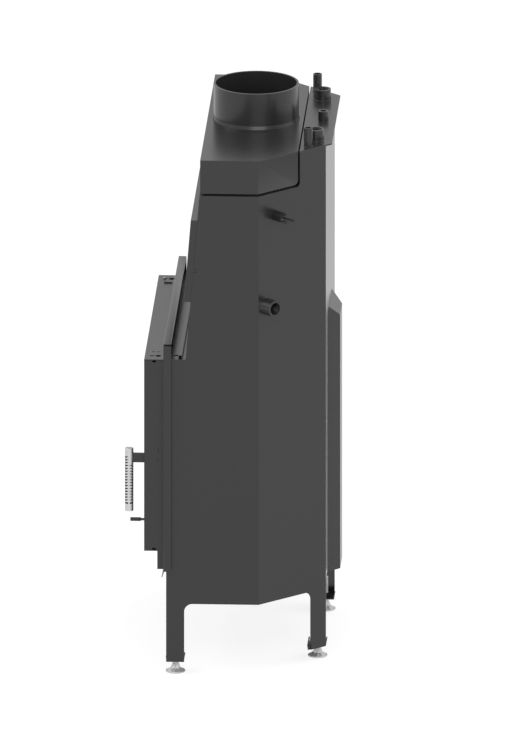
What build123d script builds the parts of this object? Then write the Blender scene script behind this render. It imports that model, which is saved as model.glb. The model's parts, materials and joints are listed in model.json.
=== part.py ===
# Water jacket fireplace insert, modelled in millimetres.
# X runs to the right as seen from the door, Y runs from the door to the back, Z is up.
# The origin lies on the floor, under the middle of the whole object.
import os
from math import cos, pi, radians, sin, sqrt, tan

from build123d import *

os.makedirs("parts", exist_ok=True)

# Driving sizes of the body. Depths are measured back from the front face of the door casing.
body_width = 758.0
body_height = 1298.0
front_depth = 54.0
crease_depth = 279.0
back_depth = 435.0
jacket_sheet = 4.0
shell_sheet = 5.0
water_gap = 32.0

# Driving sizes of the legs and feet.
leg_bottom = 30.0
body_bottom = 177.0
front_leg_width = 44.0
rear_leg_width = 48.0
leg_corner_radius = 20.0
foot_disc_radius = 24.0
foot_disc_height = 4.0
foot_cone_height = 18.0
foot_neck_radius = 7.5
foot_flutes = 10
foot_flute_depth = 2.2
foot_chamfer = 1.0
foot_step = 2.0
foot_stem_radius = 5.9
foot_stem_length = 62.0
foot_inset = 24.0
rear_foot_inset = 20.0
bracket_sheet = 3.0
bracket_length = 42.0
bracket_flange = 12.0
bracket_flare = 2.0
nut_radius = 11.0
nut_height = 10.0
stem_play = 0.1
foot_gap = 0.3
foot_waist_radius = 12.5

# Driving sizes of the leaning upper front.
ledge_height = 795.0
ledge_depth = 101.5
wall_lean = 4.6
wall_recess = 12.0
wall_sheet = 4.0
lining_board = 10.0
shield_under_top = 62.0
shield_height = 206.0
shield_stand = 16.0
shield_sheet = 2.0
tab_notch_rise = 79.0
tab_notch_size = 8.0
tab_play = 1.0
ledge_slot_inset = 36.0
ledge_slot_depth = 77.0
ledge_slot_length = 17.0
ledge_slot_width = 9.0
ledge_slot_floor = 1.0
strip_play = 2.0
cut_past = 1.0
channel_front = 83.5
channel_width = 9.0
channel_height = 9.0
channel_sheet = 1.5

# Driving sizes of the smoke hood, the tube plates and the water tank.
hood_inset = 3.0
hood_front = 136.5
hood_back = 370.5
hood_height = 89.0
hood_lift = 5.0
hood_sheet = 3.0
hood_corner_radius = 10.0
hood_gasket_width = 10.0
hood_gasket_rim = 14.0
tank_front = 375.0
tank_top_sheet = 4.0
tank_overhang = 14.5
tank_lid_gap = 1.5
tube_plate = 6.0
tube_length = 213.0
tube_radius = 44.45
tube_wall = 3.2
tube_count = 5
tube_pitch = 122.0

# Driving sizes of the flue collar.
flue_shift = 1.5
collar_radius = 103.5
collar_sheet = 5.0
collar_height = 90.0
collar_ring_width = 2.5
collar_ring_height = 8.5
collar_ring_lip = 0.3

# Driving sizes of the water fittings.
socket_radius = 20.5
socket_bore = 15.15
flow_inset = 75.5
flow_set_back = 32.5
flow_height = 26.0
return_along = 20.0
return_under_top = 279.0
return_length = 38.0
panel_port_radius = 13.5
sensor_along = 57.0
sensor_under_top = 58.0
sensor_length = 28.0
pocket_radius = 12.5
pocket_bore = 7.5
pocket_wall = 1.5
side_socket_radius = 13.0
pocket_set_back = 43.0
pocket_height = 21.0
pocket_below = 60.0
coil_inset = 30.5
coil_set_back = 17.5
coil_radius = 10.0
coil_bore = 7.5
coil_nipple_radius = 10.65
coil_bare = 10.0
coil_thread = 36.0
coil_drop = 230.0
coil_rise = 80.0
coil_bend = 35.0
coil_seam_turn = 90.0
probe_radius = 2.5
probe_length = 40.0
clip_sheet = 1.5
clip_length = 15.0
clip_spread = 13.5
clip_root = 6.5
clip_width = 12.0
probe_play = 0.1

# Driving sizes of the rear air duct and its cross tubes.
nozzle_radius = 12.0
nozzle_bore = 9.0
nozzle_height = 770.0
nozzle_pitch = 45.0
nozzle_count = 3
duct_half_width = 79.0
duct_half_face = 50.0
duct_depth = 26.5
duct_top = 847.0
duct_slope = 28.5
duct_sheet = 2.0
duct_past = 5.0

# Driving sizes of the firebox.
jacket_bottom = 204.0
hearth_rise = 23.0
hearth_sheet = 8.0
hearth_brick = 25.0
side_brick_height = 310.0
grate_width = 262.0
grate_length = 202.0
grate_thickness = 24.0
grate_slots = 9
grate_slot_width = 9.0
grate_slot_pitch = 25.0
grate_rim = 20.0
grate_chamfer = 4.0
grate_lift_gap = 0.2
grate_depth = 225.0
grate_play = 1.0
grate_land = 11.0
ash_pan_height = 86.0
ash_pan_sheet = 1.5
ash_pan_play = 8.0
baffle_thickness = 30.0
baffle_play = 1.0
baffle_peg_front_share = 0.85
baffle_peg_back_share = 0.25
baffle_under_plate = 63.7
baffle_length = 215.0
baffle_tilt = 24.0
baffle_peg_radius = 8.0
baffle_peg_length = 40.0
baffle_peg_play = 0.1

# Driving sizes of the casing, its facing frame and the apron.
casing_inset = 11.5
casing_bottom = 307.0
casing_under_ledge = 3.9
casing_sheet = 2.0
seam_width = 1.5
seam_depth = 1.0
hinge_inset = 32.0
hinge_depth = 15.0
hinge_slot_travel = 5.0
service_hole_depth = 32.0
service_hole_radius = 8.0
tongue_width = 5.0
tongue_length = 5.0
tab_slot_inset = 66.5
tab_slot_first = 20.0
tab_slot_second = 32.0
tab_slot_length = 8.4
tab_slot_width = 4.4
clip_play = 0.2
hinge_clip_rise = 3.0
casing_slot_depth = 24.0
casing_slot_length = 9.0
casing_slot_height = 5.0
casing_slot_edge = 5.0
facing_stand = 6.5
facing_depth = 19.0
facing_past = 10.0
facing_drop = 46.5
facing_over_ledge = 40.0
facing_sheet = 2.0
facing_corner = 4.5
facing_flange_corner = 3.5
facing_play = 0.4
facing_bend_play = 0.1
lip_drop = 14.0
lip_lean = 18.0
seat_setback = 28.0
seat_sheet = 4.0
seat_rim_side = 52.0
seat_rim_edge = 52.5
apron_depth = 15.5
apron_drop = 45.8
apron_sheet = 2.0

# Driving sizes of the air lever.
lever_reach = 51.4
lever_drop = 27.0
lever_radius = 2.5
grip_radius = 4.75
grip_length = 26.0
neck_radius = 3.0
neck_length = 33.0
lever_travel = 35.0
lever_slot_play = 1.0
slide_plate_sheet = 2.0
slide_plate_width = 250.0
slide_plate_height = 36.0
slide_gap = 0.3
air_hole_radius = 11.0
air_hole_pitch = 70.0
guide_sheet = 3.0
guide_overlap = 5.0

# Driving sizes of the door.
door_side_gap = 5.0
door_gap = 2.5
door_front = 1.0
door_sheet = 2.5
door_return = 20.0
door_rim = 40.0
carrier_inset = 22.5
glass_thickness = 4.0
glass_lap = 10.0
glass_chamfer = 0.5
tape_thickness = 3.0
tape_inset = 1.0
rope_width = 12.0
rope_gap = 0.3
rope_chamfer = 3.0
channel_wall = 5.0
glass_clip_sheet = 2.0
glass_clip_width = 24.0
glass_clip_share = 0.6
pin_radius = 3.5
pin_play = 0.05
pin_proud = 3.0
pin_boss_radius = 7.5
pin_boss_length = 14.0
pin_head_play = 0.2

# Driving sizes of the handle and latch.
handle_reach = 37.3
handle_radius = 10.4
handle_wall = 1.5
handle_drop = 146.35
handle_length = 158.1
handle_cap = 2.5
vent_rows = 17
vent_short_rows = 14
vent_pitch = 7.25
vent_height = 3.8
vent_arc = 68.0
vent_turn = 45.0
vent_first = 20.9
handle_plate_drop = 24.05
handle_plate_height = 23.5
handle_plate = 6.0
handle_plate_play = 0.6
latch_depth = 13.0
latch_barrel_radius = 7.0
latch_side_gap = 1.5
latch_pin_radius = 3.5
latch_pin_play = 0.05
latch_hook_start = 27.0
latch_hook_end = 34.0
latch_hook_arm = 5.0
latch_hook_gap = 1.0
latch_hook_height = 8.0
latch_swing = 20.0
ear_sheet = 2.5
ear_gap = 0.3
keeper_depth = 32.0
keeper_roller_radius = 4.0
keeper_roller_gap = 0.5
keeper_pin_radius = 1.5
keeper_sheet = 2.0
keeper_half_depth = 8.0
keeper_drop = 2.5
keeper_height = 52.0
keeper_screw_first = 16.35
keeper_screw_pitch = 23.0
keeper_screw_radius = 2.0
screw_head_radius = 3.6
screw_head_height = 1.8

# Values that follow from the driving sizes.
half_width = body_width / 2
front_y = (lever_reach - back_depth - duct_depth) / 2
shell_inset = jacket_sheet + water_gap
room_inset = shell_inset + shell_sheet
brick_inset = room_inset + hearth_brick
panel_top = body_height - hood_height
hood_bottom = panel_top + hood_lift
lower_plate_height = panel_top - tube_length
tube_middle_depth = (hood_front + hood_back) / 2
flue_depth = tube_middle_depth + flue_shift
shield_top = panel_top - shield_under_top
shield_bottom = shield_top - shield_height
tab_notch_height = shield_bottom + tab_notch_rise
sensor_height = panel_top - sensor_under_top
return_height = panel_top - return_under_top
coil_depth = tank_front + coil_set_back
flow_depth = tank_front + flow_set_back
pocket_depth = tank_front + pocket_set_back
ledge_slot_side = half_width - ledge_slot_inset
casing_half_width = half_width - casing_inset
casing_top = ledge_height - casing_under_ledge
casing_half_height = (casing_top - casing_bottom) / 2
casing_middle = casing_bottom + casing_half_height
hearth_height = casing_bottom + hearth_rise
hinge_side = casing_half_width - hinge_inset
tab_slot_side = casing_half_width - tab_slot_inset
seat_half_width = casing_half_width - seat_rim_side
seat_half_height = casing_half_height - seat_rim_edge
seat_front = hinge_depth + seat_setback
facing_front = front_depth - facing_stand
facing_bottom = casing_bottom - facing_drop
facing_top = ledge_height + facing_over_ledge
apron_front = facing_front - apron_depth
apron_bottom = casing_bottom - apron_drop
lever_height = casing_bottom - lever_drop
door_half_width = casing_half_width - casing_sheet - door_side_gap
door_half_height = casing_half_height - casing_sheet - door_gap
carrier_wide = door_half_width - carrier_inset
carrier_high = door_half_height - carrier_inset
handle_side = carrier_wide + latch_barrel_radius + latch_side_gap
handle_bottom = casing_middle - handle_drop
handle_top = handle_bottom + handle_length
handle_plate_low = casing_middle - handle_plate_drop
handle_plate_high = handle_plate_low + handle_plate_height
keeper_bottom = handle_plate_low - keeper_drop
keeper_top = keeper_bottom + keeper_height
keeper_screw_low = keeper_bottom + keeper_screw_first
keeper_screw_high = keeper_screw_low + keeper_screw_pitch
lean = tan(radians(wall_lean))
wall_step = wall_sheet / cos(radians(wall_lean))
board_step = lining_board / cos(radians(wall_lean))
chamfer_length = (back_depth - crease_depth) * sqrt(2)
nozzle_points = [
    (nozzle_pitch * (index - (nozzle_count - 1) / 2), nozzle_height) for index in range(nozzle_count)
]


def behind(depth):
    """The Y of a place this far behind the front face of the door casing."""
    return front_y + depth


def facing_plane(depth):
    """An upright plane that looks at the door side. Its X and Y are the object's X and Z."""
    return Plane.XZ.offset(-behind(depth))


def crease_at(inset):
    """The depth of the folded edge of a wall that lies this far inside the outer sheet."""
    return crease_depth - inset * (sqrt(2) - 1)


def chamfer_x(inset, depth):
    """The half width of such a wall on the 45 degree side, at this depth."""
    return half_width + crease_depth - inset * sqrt(2) - depth


def coil_places():
    """The two places where the ends of the cooling coil stand."""
    side = chamfer_x(0, coil_depth) - coil_inset
    return [(-side, behind(coil_depth)), (side, behind(coil_depth))]


def flow_places():
    """The two places of the upper water sockets."""
    side = chamfer_x(0, flow_depth) - flow_inset
    return [(-side, behind(flow_depth)), (side, behind(flow_depth))]


def body_outline(inset, front, back):
    """The body in plan, this far inside the outer sheet, between two depths."""
    side = half_width - inset
    corner = chamfer_x(inset, back)
    return [
        (-side, behind(front)),
        (side, behind(front)),
        (side, behind(crease_at(inset))),
        (corner, behind(back)),
        (-corner, behind(back)),
        (-side, behind(crease_at(inset))),
    ]


def leaning_depth(height):
    """The depth of the leaning front edge of the side panels at this height."""
    return ledge_depth + (height - ledge_height) * lean


def leaning_band(start, stop, low, high):
    """A strip of the side view that follows the leaning edge, between two distances behind it."""
    return [
        (behind(leaning_depth(low) + start), low),
        (behind(leaning_depth(low) + stop), low),
        (behind(leaning_depth(high) + stop), high),
        (behind(leaning_depth(high) + start), high),
    ]


def chamfer_plane(along, height):
    """A plane on the right 45 degree face, this far from the crease. It looks outwards."""
    step = along / sqrt(2)
    origin = (half_width - step, behind(crease_depth + step), height)
    return Plane(origin=origin, x_dir=(-1, 1, 0), z_dir=(1, 1, 0))


def finish(builder, name):
    """Labels a finished piece and writes it to its own file."""
    builder.part.label = name
    export_step(builder.part, f"parts/{name}.step")


def outline_face(points, mode=Mode.ADD):
    """A face inside the closed outline through these points."""
    Polygon(*points, align=None, mode=mode)


def rectangle_face(low, high, mode=Mode.ADD):
    """A rectangular face between two opposite corners."""
    outline_face([low, (high[0], low[1]), high, (low[0], high[1])], mode)


def lever_slot_face(mode=Mode.ADD):
    """The slot that the rod of the air lever moves along."""
    clear = lever_radius + lever_slot_play
    with Locations((0, lever_height)):
        SlotOverall(2 * (lever_travel + clear), 2 * clear, mode=mode)


def air_holes_face(mode=Mode.SUBTRACT):
    """The two air holes beside the rod of the air lever."""
    with Locations((-air_hole_pitch, lever_height), (air_hole_pitch, lever_height)):
        Circle(air_hole_radius, mode=mode)


def door_opening_face(half_wide, half_high, mode=Mode.ADD):
    """A rectangle around the middle of the door, given by its half sizes."""
    with Locations((0, casing_middle)):
        Rectangle(2 * half_wide, 2 * half_high, mode=mode)


# Side panels: one folded sheet each, from the leg feet to the water tank
gap_along = (tank_front - crease_depth) * sqrt(2)
with BuildPart() as side_panel:
    with BuildSketch(Plane.YZ.offset(half_width - jacket_sheet)) as flat_side:
        outline_face(
            [
                (behind(front_depth), leg_bottom),
                (behind(front_depth), ledge_height),
                (behind(ledge_depth), ledge_height),
                (behind(leaning_depth(panel_top)), panel_top),
                (behind(crease_depth), panel_top),
                (behind(crease_depth), body_bottom),
                (behind(front_depth + front_leg_width), body_bottom),
                (behind(front_depth + front_leg_width), leg_bottom),
            ]
        )
        inner = (behind(front_depth + front_leg_width), body_bottom)
        fillet(flat_side.vertices().sort_by_distance(inner)[0], leg_corner_radius)
        notch_middle = behind(leaning_depth(tab_notch_height))
        with Locations((notch_middle, tab_notch_height)):
            Rectangle(2 * tab_notch_size, tab_notch_size, mode=Mode.SUBTRACT)
    extrude(amount=jacket_sheet)
    with BuildSketch(chamfer_plane(0, 0)) as angled_side:
        outline_face(
            [
                (0, body_bottom),
                (chamfer_length - rear_leg_width, body_bottom),
                (chamfer_length - rear_leg_width, leg_bottom),
                (chamfer_length + jacket_sheet, leg_bottom),
                (chamfer_length + jacket_sheet, body_height - tank_top_sheet),
                (gap_along, body_height - tank_top_sheet),
                (gap_along, panel_top),
                (0, panel_top),
            ]
        )
        inner = (chamfer_length - rear_leg_width, body_bottom)
        fillet(angled_side.vertices().sort_by_distance(inner)[0], leg_corner_radius)
        inner = (gap_along, panel_top)
        fillet(angled_side.vertices().sort_by_distance(inner)[0], hood_corner_radius)
        with Locations((return_along, return_height)):
            Circle(panel_port_radius, mode=Mode.SUBTRACT)
    extrude(amount=-jacket_sheet)
    split(bisect_by=facing_plane(back_depth), keep=Keep.TOP)

with BuildPart() as left_side_panel:
    mirror(side_panel.part, about=Plane.YZ)
finish(left_side_panel, "left_side_panel")

with BuildPart() as right_side_panel:
    add(side_panel.part)
    with BuildSketch(chamfer_plane(sensor_along, sensor_height)):
        Circle(pocket_bore)
    extrude(amount=-jacket_sheet, mode=Mode.SUBTRACT)
finish(right_side_panel, "right_side_panel")

# Back panel: mitred between the two side panels
with BuildPart() as back_panel:
    with BuildSketch(Plane.XY.offset(jacket_bottom - jacket_sheet)):
        face_half = chamfer_x(jacket_sheet, back_depth)
        inner_half = chamfer_x(jacket_sheet, back_depth - jacket_sheet)
        outline_face(
            [
                (-face_half, behind(back_depth)),
                (-inner_half, behind(back_depth - jacket_sheet)),
                (inner_half, behind(back_depth - jacket_sheet)),
                (face_half, behind(back_depth)),
            ]
        )
    extrude(amount=body_height - tank_top_sheet - jacket_bottom + jacket_sheet)
    with BuildSketch(facing_plane(back_depth)):
        with Locations(*nozzle_points):
            Circle(nozzle_radius)
    extrude(amount=jacket_sheet, mode=Mode.SUBTRACT)
finish(back_panel, "back_panel")

# Floor of the water jacket and of the ash space
with BuildPart() as jacket_floor:
    with BuildSketch(Plane.XY.offset(jacket_bottom - jacket_sheet)):
        outline_face(body_outline(jacket_sheet, front_depth, back_depth - jacket_sheet))
    extrude(amount=jacket_sheet)
finish(jacket_floor, "jacket_floor")

# Front plate of the body, with the firebox opening and the air holes
front_back = front_depth + jacket_sheet
ledge_underside = ledge_height - jacket_sheet
with BuildPart() as body_front_plate:
    with BuildSketch(facing_plane(front_depth)):
        side = half_width - jacket_sheet
        rectangle_face((-side, jacket_bottom), (side, ledge_underside))
        door_opening_face(seat_half_width, seat_half_height, Mode.SUBTRACT)
        lever_slot_face(Mode.SUBTRACT)
        air_holes_face()
    extrude(amount=-jacket_sheet)
finish(body_front_plate, "body_front_plate")

# Firebox shell: the inner wall of the water jacket, open in front
with BuildPart() as firebox_shell:
    with BuildSketch(Plane.XY.offset(jacket_bottom)):
        outline_face(body_outline(shell_inset, front_back, back_depth - shell_inset))
        room = body_outline(room_inset, front_back - cut_past, back_depth - room_inset)
        outline_face(room, Mode.SUBTRACT)
    extrude(amount=lower_plate_height - jacket_bottom)
    with BuildSketch(Plane.YZ):
        step = wall_recess + wall_step
        outline_face(
            [
                (behind(0), ledge_underside),
                (behind(leaning_depth(ledge_height) + step), ledge_underside),
                (behind(leaning_depth(ledge_height) + step), ledge_height),
                (behind(leaning_depth(panel_top) + step), panel_top),
                (behind(0), panel_top),
            ]
        )
    extrude(amount=half_width, both=True, mode=Mode.SUBTRACT)
    with BuildSketch(facing_plane(back_depth - shell_inset)):
        with Locations(*nozzle_points):
            Circle(nozzle_radius)
    extrude(amount=shell_sheet, mode=Mode.SUBTRACT)
finish(firebox_shell, "firebox_shell")

# Ledge over the door, with a lifting recess near each end
with BuildPart() as ledge_plate:
    with BuildSketch(Plane.XY.offset(ledge_underside)):
        side = half_width - jacket_sheet
        back = ledge_depth + wall_recess + wall_step
        rectangle_face((-side, behind(front_depth)), (side, behind(back)))
    extrude(amount=jacket_sheet)
    with BuildSketch(Plane.XY.offset(ledge_height)):
        with Locations(
            (-ledge_slot_side, behind(ledge_slot_depth)),
            (ledge_slot_side, behind(ledge_slot_depth)),
        ):
            SlotOverall(ledge_slot_length, ledge_slot_width, rotation=90)
    extrude(amount=ledge_slot_floor - jacket_sheet, mode=Mode.SUBTRACT)
finish(ledge_plate, "ledge_plate")

with BuildPart() as ledge_channel:
    with BuildSketch(Plane.YZ):
        low = ledge_height
        high = ledge_height + channel_height
        rectangle_face((behind(channel_front), low), (behind(channel_front + channel_width), high))
        rectangle_face(
            (behind(channel_front + channel_sheet), low - cut_past),
            (behind(channel_front + channel_width - channel_sheet), high - channel_sheet),
            Mode.SUBTRACT,
        )
    extrude(amount=half_width - jacket_sheet - strip_play, both=True)
finish(ledge_channel, "ledge_channel")

# Leaning front wall, its insulation board and the heat shield in front of it
with BuildPart() as front_wall:
    with BuildSketch(Plane.YZ):
        start = wall_recess
        outline_face(
            leaning_band(start, start + wall_step, ledge_height, panel_top - tube_plate)
        )
    extrude(amount=half_width - jacket_sheet, both=True)
finish(front_wall, "front_wall")

with BuildPart() as insulation_board:
    with BuildSketch(Plane.YZ):
        outline_face(
            leaning_band(wall_recess - board_step, wall_recess, ledge_height, shield_top)
        )
    extrude(amount=half_width - jacket_sheet - strip_play, both=True)
finish(insulation_board, "insulation_board")

with BuildPart() as heat_shield:
    with BuildSketch(Plane.YZ):
        outline_face(leaning_band(-shield_stand, 0, shield_bottom, shield_top))
    extrude(amount=half_width, both=True)
    with BuildSketch(Plane.YZ):
        inner_start = shield_sheet - shield_stand
        inner_low = shield_bottom - cut_past
        outline_face(leaning_band(inner_start, cut_past, inner_low, shield_top - shield_sheet))
    extrude(amount=half_width - shield_sheet, both=True, mode=Mode.SUBTRACT)
    with BuildSketch(Plane.YZ.offset(half_width - jacket_sheet)):
        tab_end = behind(leaning_depth(tab_notch_height) + tab_notch_size - tab_play)
        tab_start = behind(leaning_depth(tab_notch_height) - shield_stand / 2)
        half_tab = tab_notch_size / 2 - tab_play
        rectangle_face(
            (tab_start, tab_notch_height - half_tab), (tab_end, tab_notch_height + half_tab)
        )
    extrude(amount=jacket_sheet)
    mirror(about=Plane.YZ)
finish(heat_shield, "heat_shield")

# Tube plates and the smoke tubes between them
tube_steps = [index - (tube_count - 1) / 2 for index in range(tube_count)]
tube_points = [(tube_pitch * step, behind(tube_middle_depth)) for step in tube_steps]
with BuildPart() as lower_tube_plate:
    with BuildSketch(Plane.XY.offset(lower_plate_height)):
        front = leaning_depth(lower_plate_height + tube_plate) + wall_recess + wall_step
        outline_face(body_outline(shell_inset, front, back_depth - shell_inset))
        with Locations(*tube_points):
            Circle(tube_radius, mode=Mode.SUBTRACT)
    extrude(amount=tube_plate)
finish(lower_tube_plate, "lower_tube_plate")

with BuildPart() as upper_tube_plate:
    with BuildSketch(Plane.XY.offset(panel_top - tube_plate)):
        front = leaning_depth(panel_top)
        outline_face(body_outline(jacket_sheet, front, tank_front + jacket_sheet))
        with Locations(*tube_points):
            Circle(tube_radius, mode=Mode.SUBTRACT)
    extrude(amount=tube_plate)
finish(upper_tube_plate, "upper_tube_plate")

with BuildPart() as smoke_tubes:
    with BuildSketch(Plane.XY.offset(lower_plate_height)):
        with Locations(*tube_points):
            Circle(tube_radius)
            Circle(tube_radius - tube_wall, mode=Mode.SUBTRACT)
    extrude(amount=panel_top - lower_plate_height)
finish(smoke_tubes, "smoke_tubes")

# Raised water tank behind the hood
with BuildPart() as tank_riser:
    with BuildSketch(Plane.XY.offset(panel_top)):
        outline_face(
            [
                (-chamfer_x(jacket_sheet, tank_front), behind(tank_front)),
                (chamfer_x(jacket_sheet, tank_front), behind(tank_front)),
                (chamfer_x(jacket_sheet, tank_front + jacket_sheet), behind(tank_front + jacket_sheet)),
                (-chamfer_x(jacket_sheet, tank_front + jacket_sheet), behind(tank_front + jacket_sheet)),
            ]
        )
    extrude(amount=body_height - tank_top_sheet - panel_top)
finish(tank_riser, "tank_riser")

with BuildPart() as tank_top_plate:
    with BuildSketch(Plane.XY.offset(body_height - tank_top_sheet)):
        front = tank_front - tank_lid_gap
        back = back_depth + tank_overhang
        outline_face(
            [
                (-chamfer_x(0, front), behind(front)),
                (chamfer_x(0, front), behind(front)),
                (chamfer_x(0, back), behind(back)),
                (-chamfer_x(0, back), behind(back)),
            ]
        )
        with Locations(*flow_places()):
            Circle(panel_port_radius, mode=Mode.SUBTRACT)
        with Locations(*coil_places()):
            Circle(coil_radius, mode=Mode.SUBTRACT)
        with Locations((0, behind(pocket_depth))):
            Circle(pocket_bore + pocket_wall, mode=Mode.SUBTRACT)
    extrude(amount=tank_top_sheet)
finish(tank_top_plate, "tank_top_plate")

# Smoke hood over the tube plate: walls, gasket and top plate
hood_top = body_height - hood_sheet


def hood_outline(inset):
    """The hood in plan, this far inside its outer faces."""
    return body_outline(hood_inset + inset, hood_front + inset, hood_back - inset)


hood_foot = hood_gasket_rim + hood_gasket_width
with BuildPart() as hood_gasket:
    with BuildSketch(Plane.XY.offset(panel_top)):
        outline_face(hood_outline(hood_gasket_rim))
        outline_face(hood_outline(hood_foot), Mode.SUBTRACT)
    extrude(amount=hood_bottom - panel_top)
finish(hood_gasket, "hood_gasket")

with BuildPart() as hood_shell:
    with BuildSketch(Plane.XY.offset(hood_bottom)):
        outline_face(hood_outline(0))
        outline_face(hood_outline(hood_sheet), Mode.SUBTRACT)
    extrude(amount=hood_top - hood_bottom)
    with BuildSketch(Plane.XY.offset(hood_bottom)):
        outline_face(hood_outline(0))
        outline_face(hood_outline(hood_foot), Mode.SUBTRACT)
    extrude(amount=hood_sheet)
    rear_edge = hood_shell.edges().filter_by(Axis.X).group_by(Axis.Z)[0].sort_by(Axis.Y)[-1]
    fillet(rear_edge, hood_corner_radius)
finish(hood_shell, "hood_shell")

with BuildPart() as hood_top_plate:
    with BuildSketch(Plane.XY.offset(hood_top)):
        outline_face(body_outline(hood_inset, hood_front, hood_back))
        with Locations((0, behind(flue_depth))):
            Circle(collar_radius - collar_sheet, mode=Mode.SUBTRACT)
    extrude(amount=hood_sheet)
finish(hood_top_plate, "hood_top_plate")

# Flue collar, welded onto a flat ring
with BuildPart() as collar_ring:
    with Locations((0, behind(flue_depth), body_height + collar_ring_height / 2)):
        Cone(
            collar_radius + collar_ring_width, collar_radius + collar_ring_lip, collar_ring_height
        )
        Cylinder(collar_radius - collar_sheet, collar_ring_height, mode=Mode.SUBTRACT)
finish(collar_ring, "collar_ring")

with BuildPart() as flue_collar:
    with BuildSketch(Plane.XY.offset(body_height + collar_ring_height)):
        with Locations((0, behind(flue_depth))):
            Circle(collar_radius)
            Circle(collar_radius - collar_sheet, mode=Mode.SUBTRACT)
    extrude(amount=collar_height - collar_ring_height)
finish(flue_collar, "flue_collar")

# Water fittings
with BuildPart() as water_sockets:
    with BuildSketch(Plane.XY.offset(body_height)):
        with Locations(*flow_places()):
            Circle(socket_radius)
            Circle(socket_bore, mode=Mode.SUBTRACT)
    extrude(amount=flow_height)
    with BuildSketch(chamfer_plane(return_along, return_height)):
        Circle(socket_radius)
        Circle(socket_bore, mode=Mode.SUBTRACT)
    extrude(amount=return_length)
    mirror(about=Plane.YZ)
finish(water_sockets, "water_sockets")

with BuildPart() as sensor_sockets:
    with BuildSketch(Plane.XY.offset(body_height)):
        with Locations((0, behind(pocket_depth))):
            Circle(pocket_radius)
    extrude(amount=pocket_height)
    with BuildSketch(Plane.XY.offset(body_height)):
        with Locations((0, behind(pocket_depth))):
            Circle(pocket_bore + pocket_wall)
    extrude(amount=-pocket_below)
    with BuildSketch(Plane.XY.offset(body_height + pocket_height)):
        with Locations((0, behind(pocket_depth))):
            Circle(pocket_bore)
    extrude(amount=-(pocket_height + pocket_below - pocket_wall), mode=Mode.SUBTRACT)
    with BuildSketch(chamfer_plane(sensor_along, sensor_height)):
        Circle(side_socket_radius)
        Circle(pocket_bore, mode=Mode.SUBTRACT)
    extrude(amount=sensor_length)
finish(sensor_sockets, "sensor_sockets")

# Temperature probe in the side socket, held by a two pronged spring clip
socket_mouth = chamfer_plane(sensor_along, sensor_height).offset(sensor_length)
with BuildPart() as sensor_clip:
    with BuildSketch(socket_mouth):
        Circle(side_socket_radius - clip_sheet)
        Circle(probe_radius + probe_play, mode=Mode.SUBTRACT)
    extrude(amount=clip_sheet)
    with BuildSketch(Plane(origin=socket_mouth.origin, x_dir=(0, 0, 1), z_dir=(-1, 1, 0))):
        outline_face(
            [
                (clip_root, 0),
                (clip_root + clip_sheet, 0),
                (clip_root + 2 * clip_sheet, clip_length / 2),
                (clip_spread, clip_length),
                (clip_spread - clip_sheet, clip_length),
                (clip_root + clip_sheet, clip_length / 2),
            ]
        )
    extrude(amount=clip_width / 2, both=True)
    mirror(about=Plane.XY.offset(sensor_height))
finish(sensor_clip, "sensor_clip")

with BuildPart() as sensor_probe:
    with BuildSketch(socket_mouth.offset(-sensor_length)):
        Circle(probe_radius)
    extrude(amount=sensor_length + probe_length)
finish(sensor_probe, "sensor_probe")

# Safety cooling coil: one pipe that dips twice into the water tank
coil_side = coil_places()[1][0]
coil_start = body_height + coil_bare
coil_low = body_height - coil_drop
coil_high = body_height - coil_rise
coil_ends = [Location(place, coil_seam_turn) for place in coil_places()]
with BuildPart() as cooling_coil:
    with BuildLine(Plane.XZ.offset(-behind(coil_depth))) as coil_route:
        FilletPolyline(
            (-coil_side, coil_start),
            (-coil_side, coil_low),
            (-coil_side / 3, coil_low),
            (-coil_side / 3, coil_high),
            (coil_side / 3, coil_high),
            (coil_side / 3, coil_low),
            (coil_side, coil_low),
            (coil_side, coil_start),
            radius=coil_bend,
        )
    with BuildSketch(Plane.XY.offset(coil_start)):
        with Locations(coil_ends[0]):
            Circle(coil_radius)
            Circle(coil_bore, mode=Mode.SUBTRACT)
    sweep()
    with BuildSketch(Plane.XY.offset(coil_start)):
        with Locations(*coil_ends):
            Circle(coil_nipple_radius)
            Circle(coil_bore, mode=Mode.SUBTRACT)
    extrude(amount=coil_thread)
finish(cooling_coil, "cooling_coil")

# Rear air duct: a folded trough with a sloped top, open at the bottom


def duct_plan(past):
    """The duct in plan, run on past the back panel by this much."""
    spread = (duct_half_width - duct_half_face) * past / duct_depth
    return [
        (-duct_half_width - spread, behind(back_depth - past)),
        (duct_half_width + spread, behind(back_depth - past)),
        (duct_half_face, behind(back_depth + duct_depth)),
        (-duct_half_face, behind(back_depth + duct_depth)),
    ]


def duct_slope_cut(drop):
    """The side view of what lies over the sloped top, lowered by this much."""
    rise = duct_slope * duct_past / duct_depth
    start = behind(back_depth - duct_past)
    stop = behind(back_depth + duct_depth + duct_past)
    over = duct_top + 3 * duct_past
    return [
        (start, duct_top + rise - drop),
        (stop, duct_top - duct_slope - rise - drop),
        (stop, over),
        (start, over),
    ]


with BuildPart() as duct_hollow:
    with BuildSketch(Plane.XY.offset(body_bottom - cut_past)):
        outline_face(duct_plan(2 * duct_sheet))
        offset(amount=-duct_sheet)
    extrude(amount=duct_top - body_bottom + cut_past)
    with BuildSketch(Plane.YZ):
        outline_face(duct_slope_cut(duct_sheet * sqrt(2)))
    extrude(amount=half_width, both=True, mode=Mode.SUBTRACT)
with BuildPart() as rear_air_duct:
    with BuildSketch(Plane.XY.offset(body_bottom)):
        outline_face(duct_plan(0))
    extrude(amount=duct_top - body_bottom)
    with BuildSketch(Plane.YZ):
        outline_face(duct_slope_cut(0))
    extrude(amount=half_width, both=True, mode=Mode.SUBTRACT)
    add(duct_hollow.part, mode=Mode.SUBTRACT)
finish(rear_air_duct, "rear_air_duct")

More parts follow.
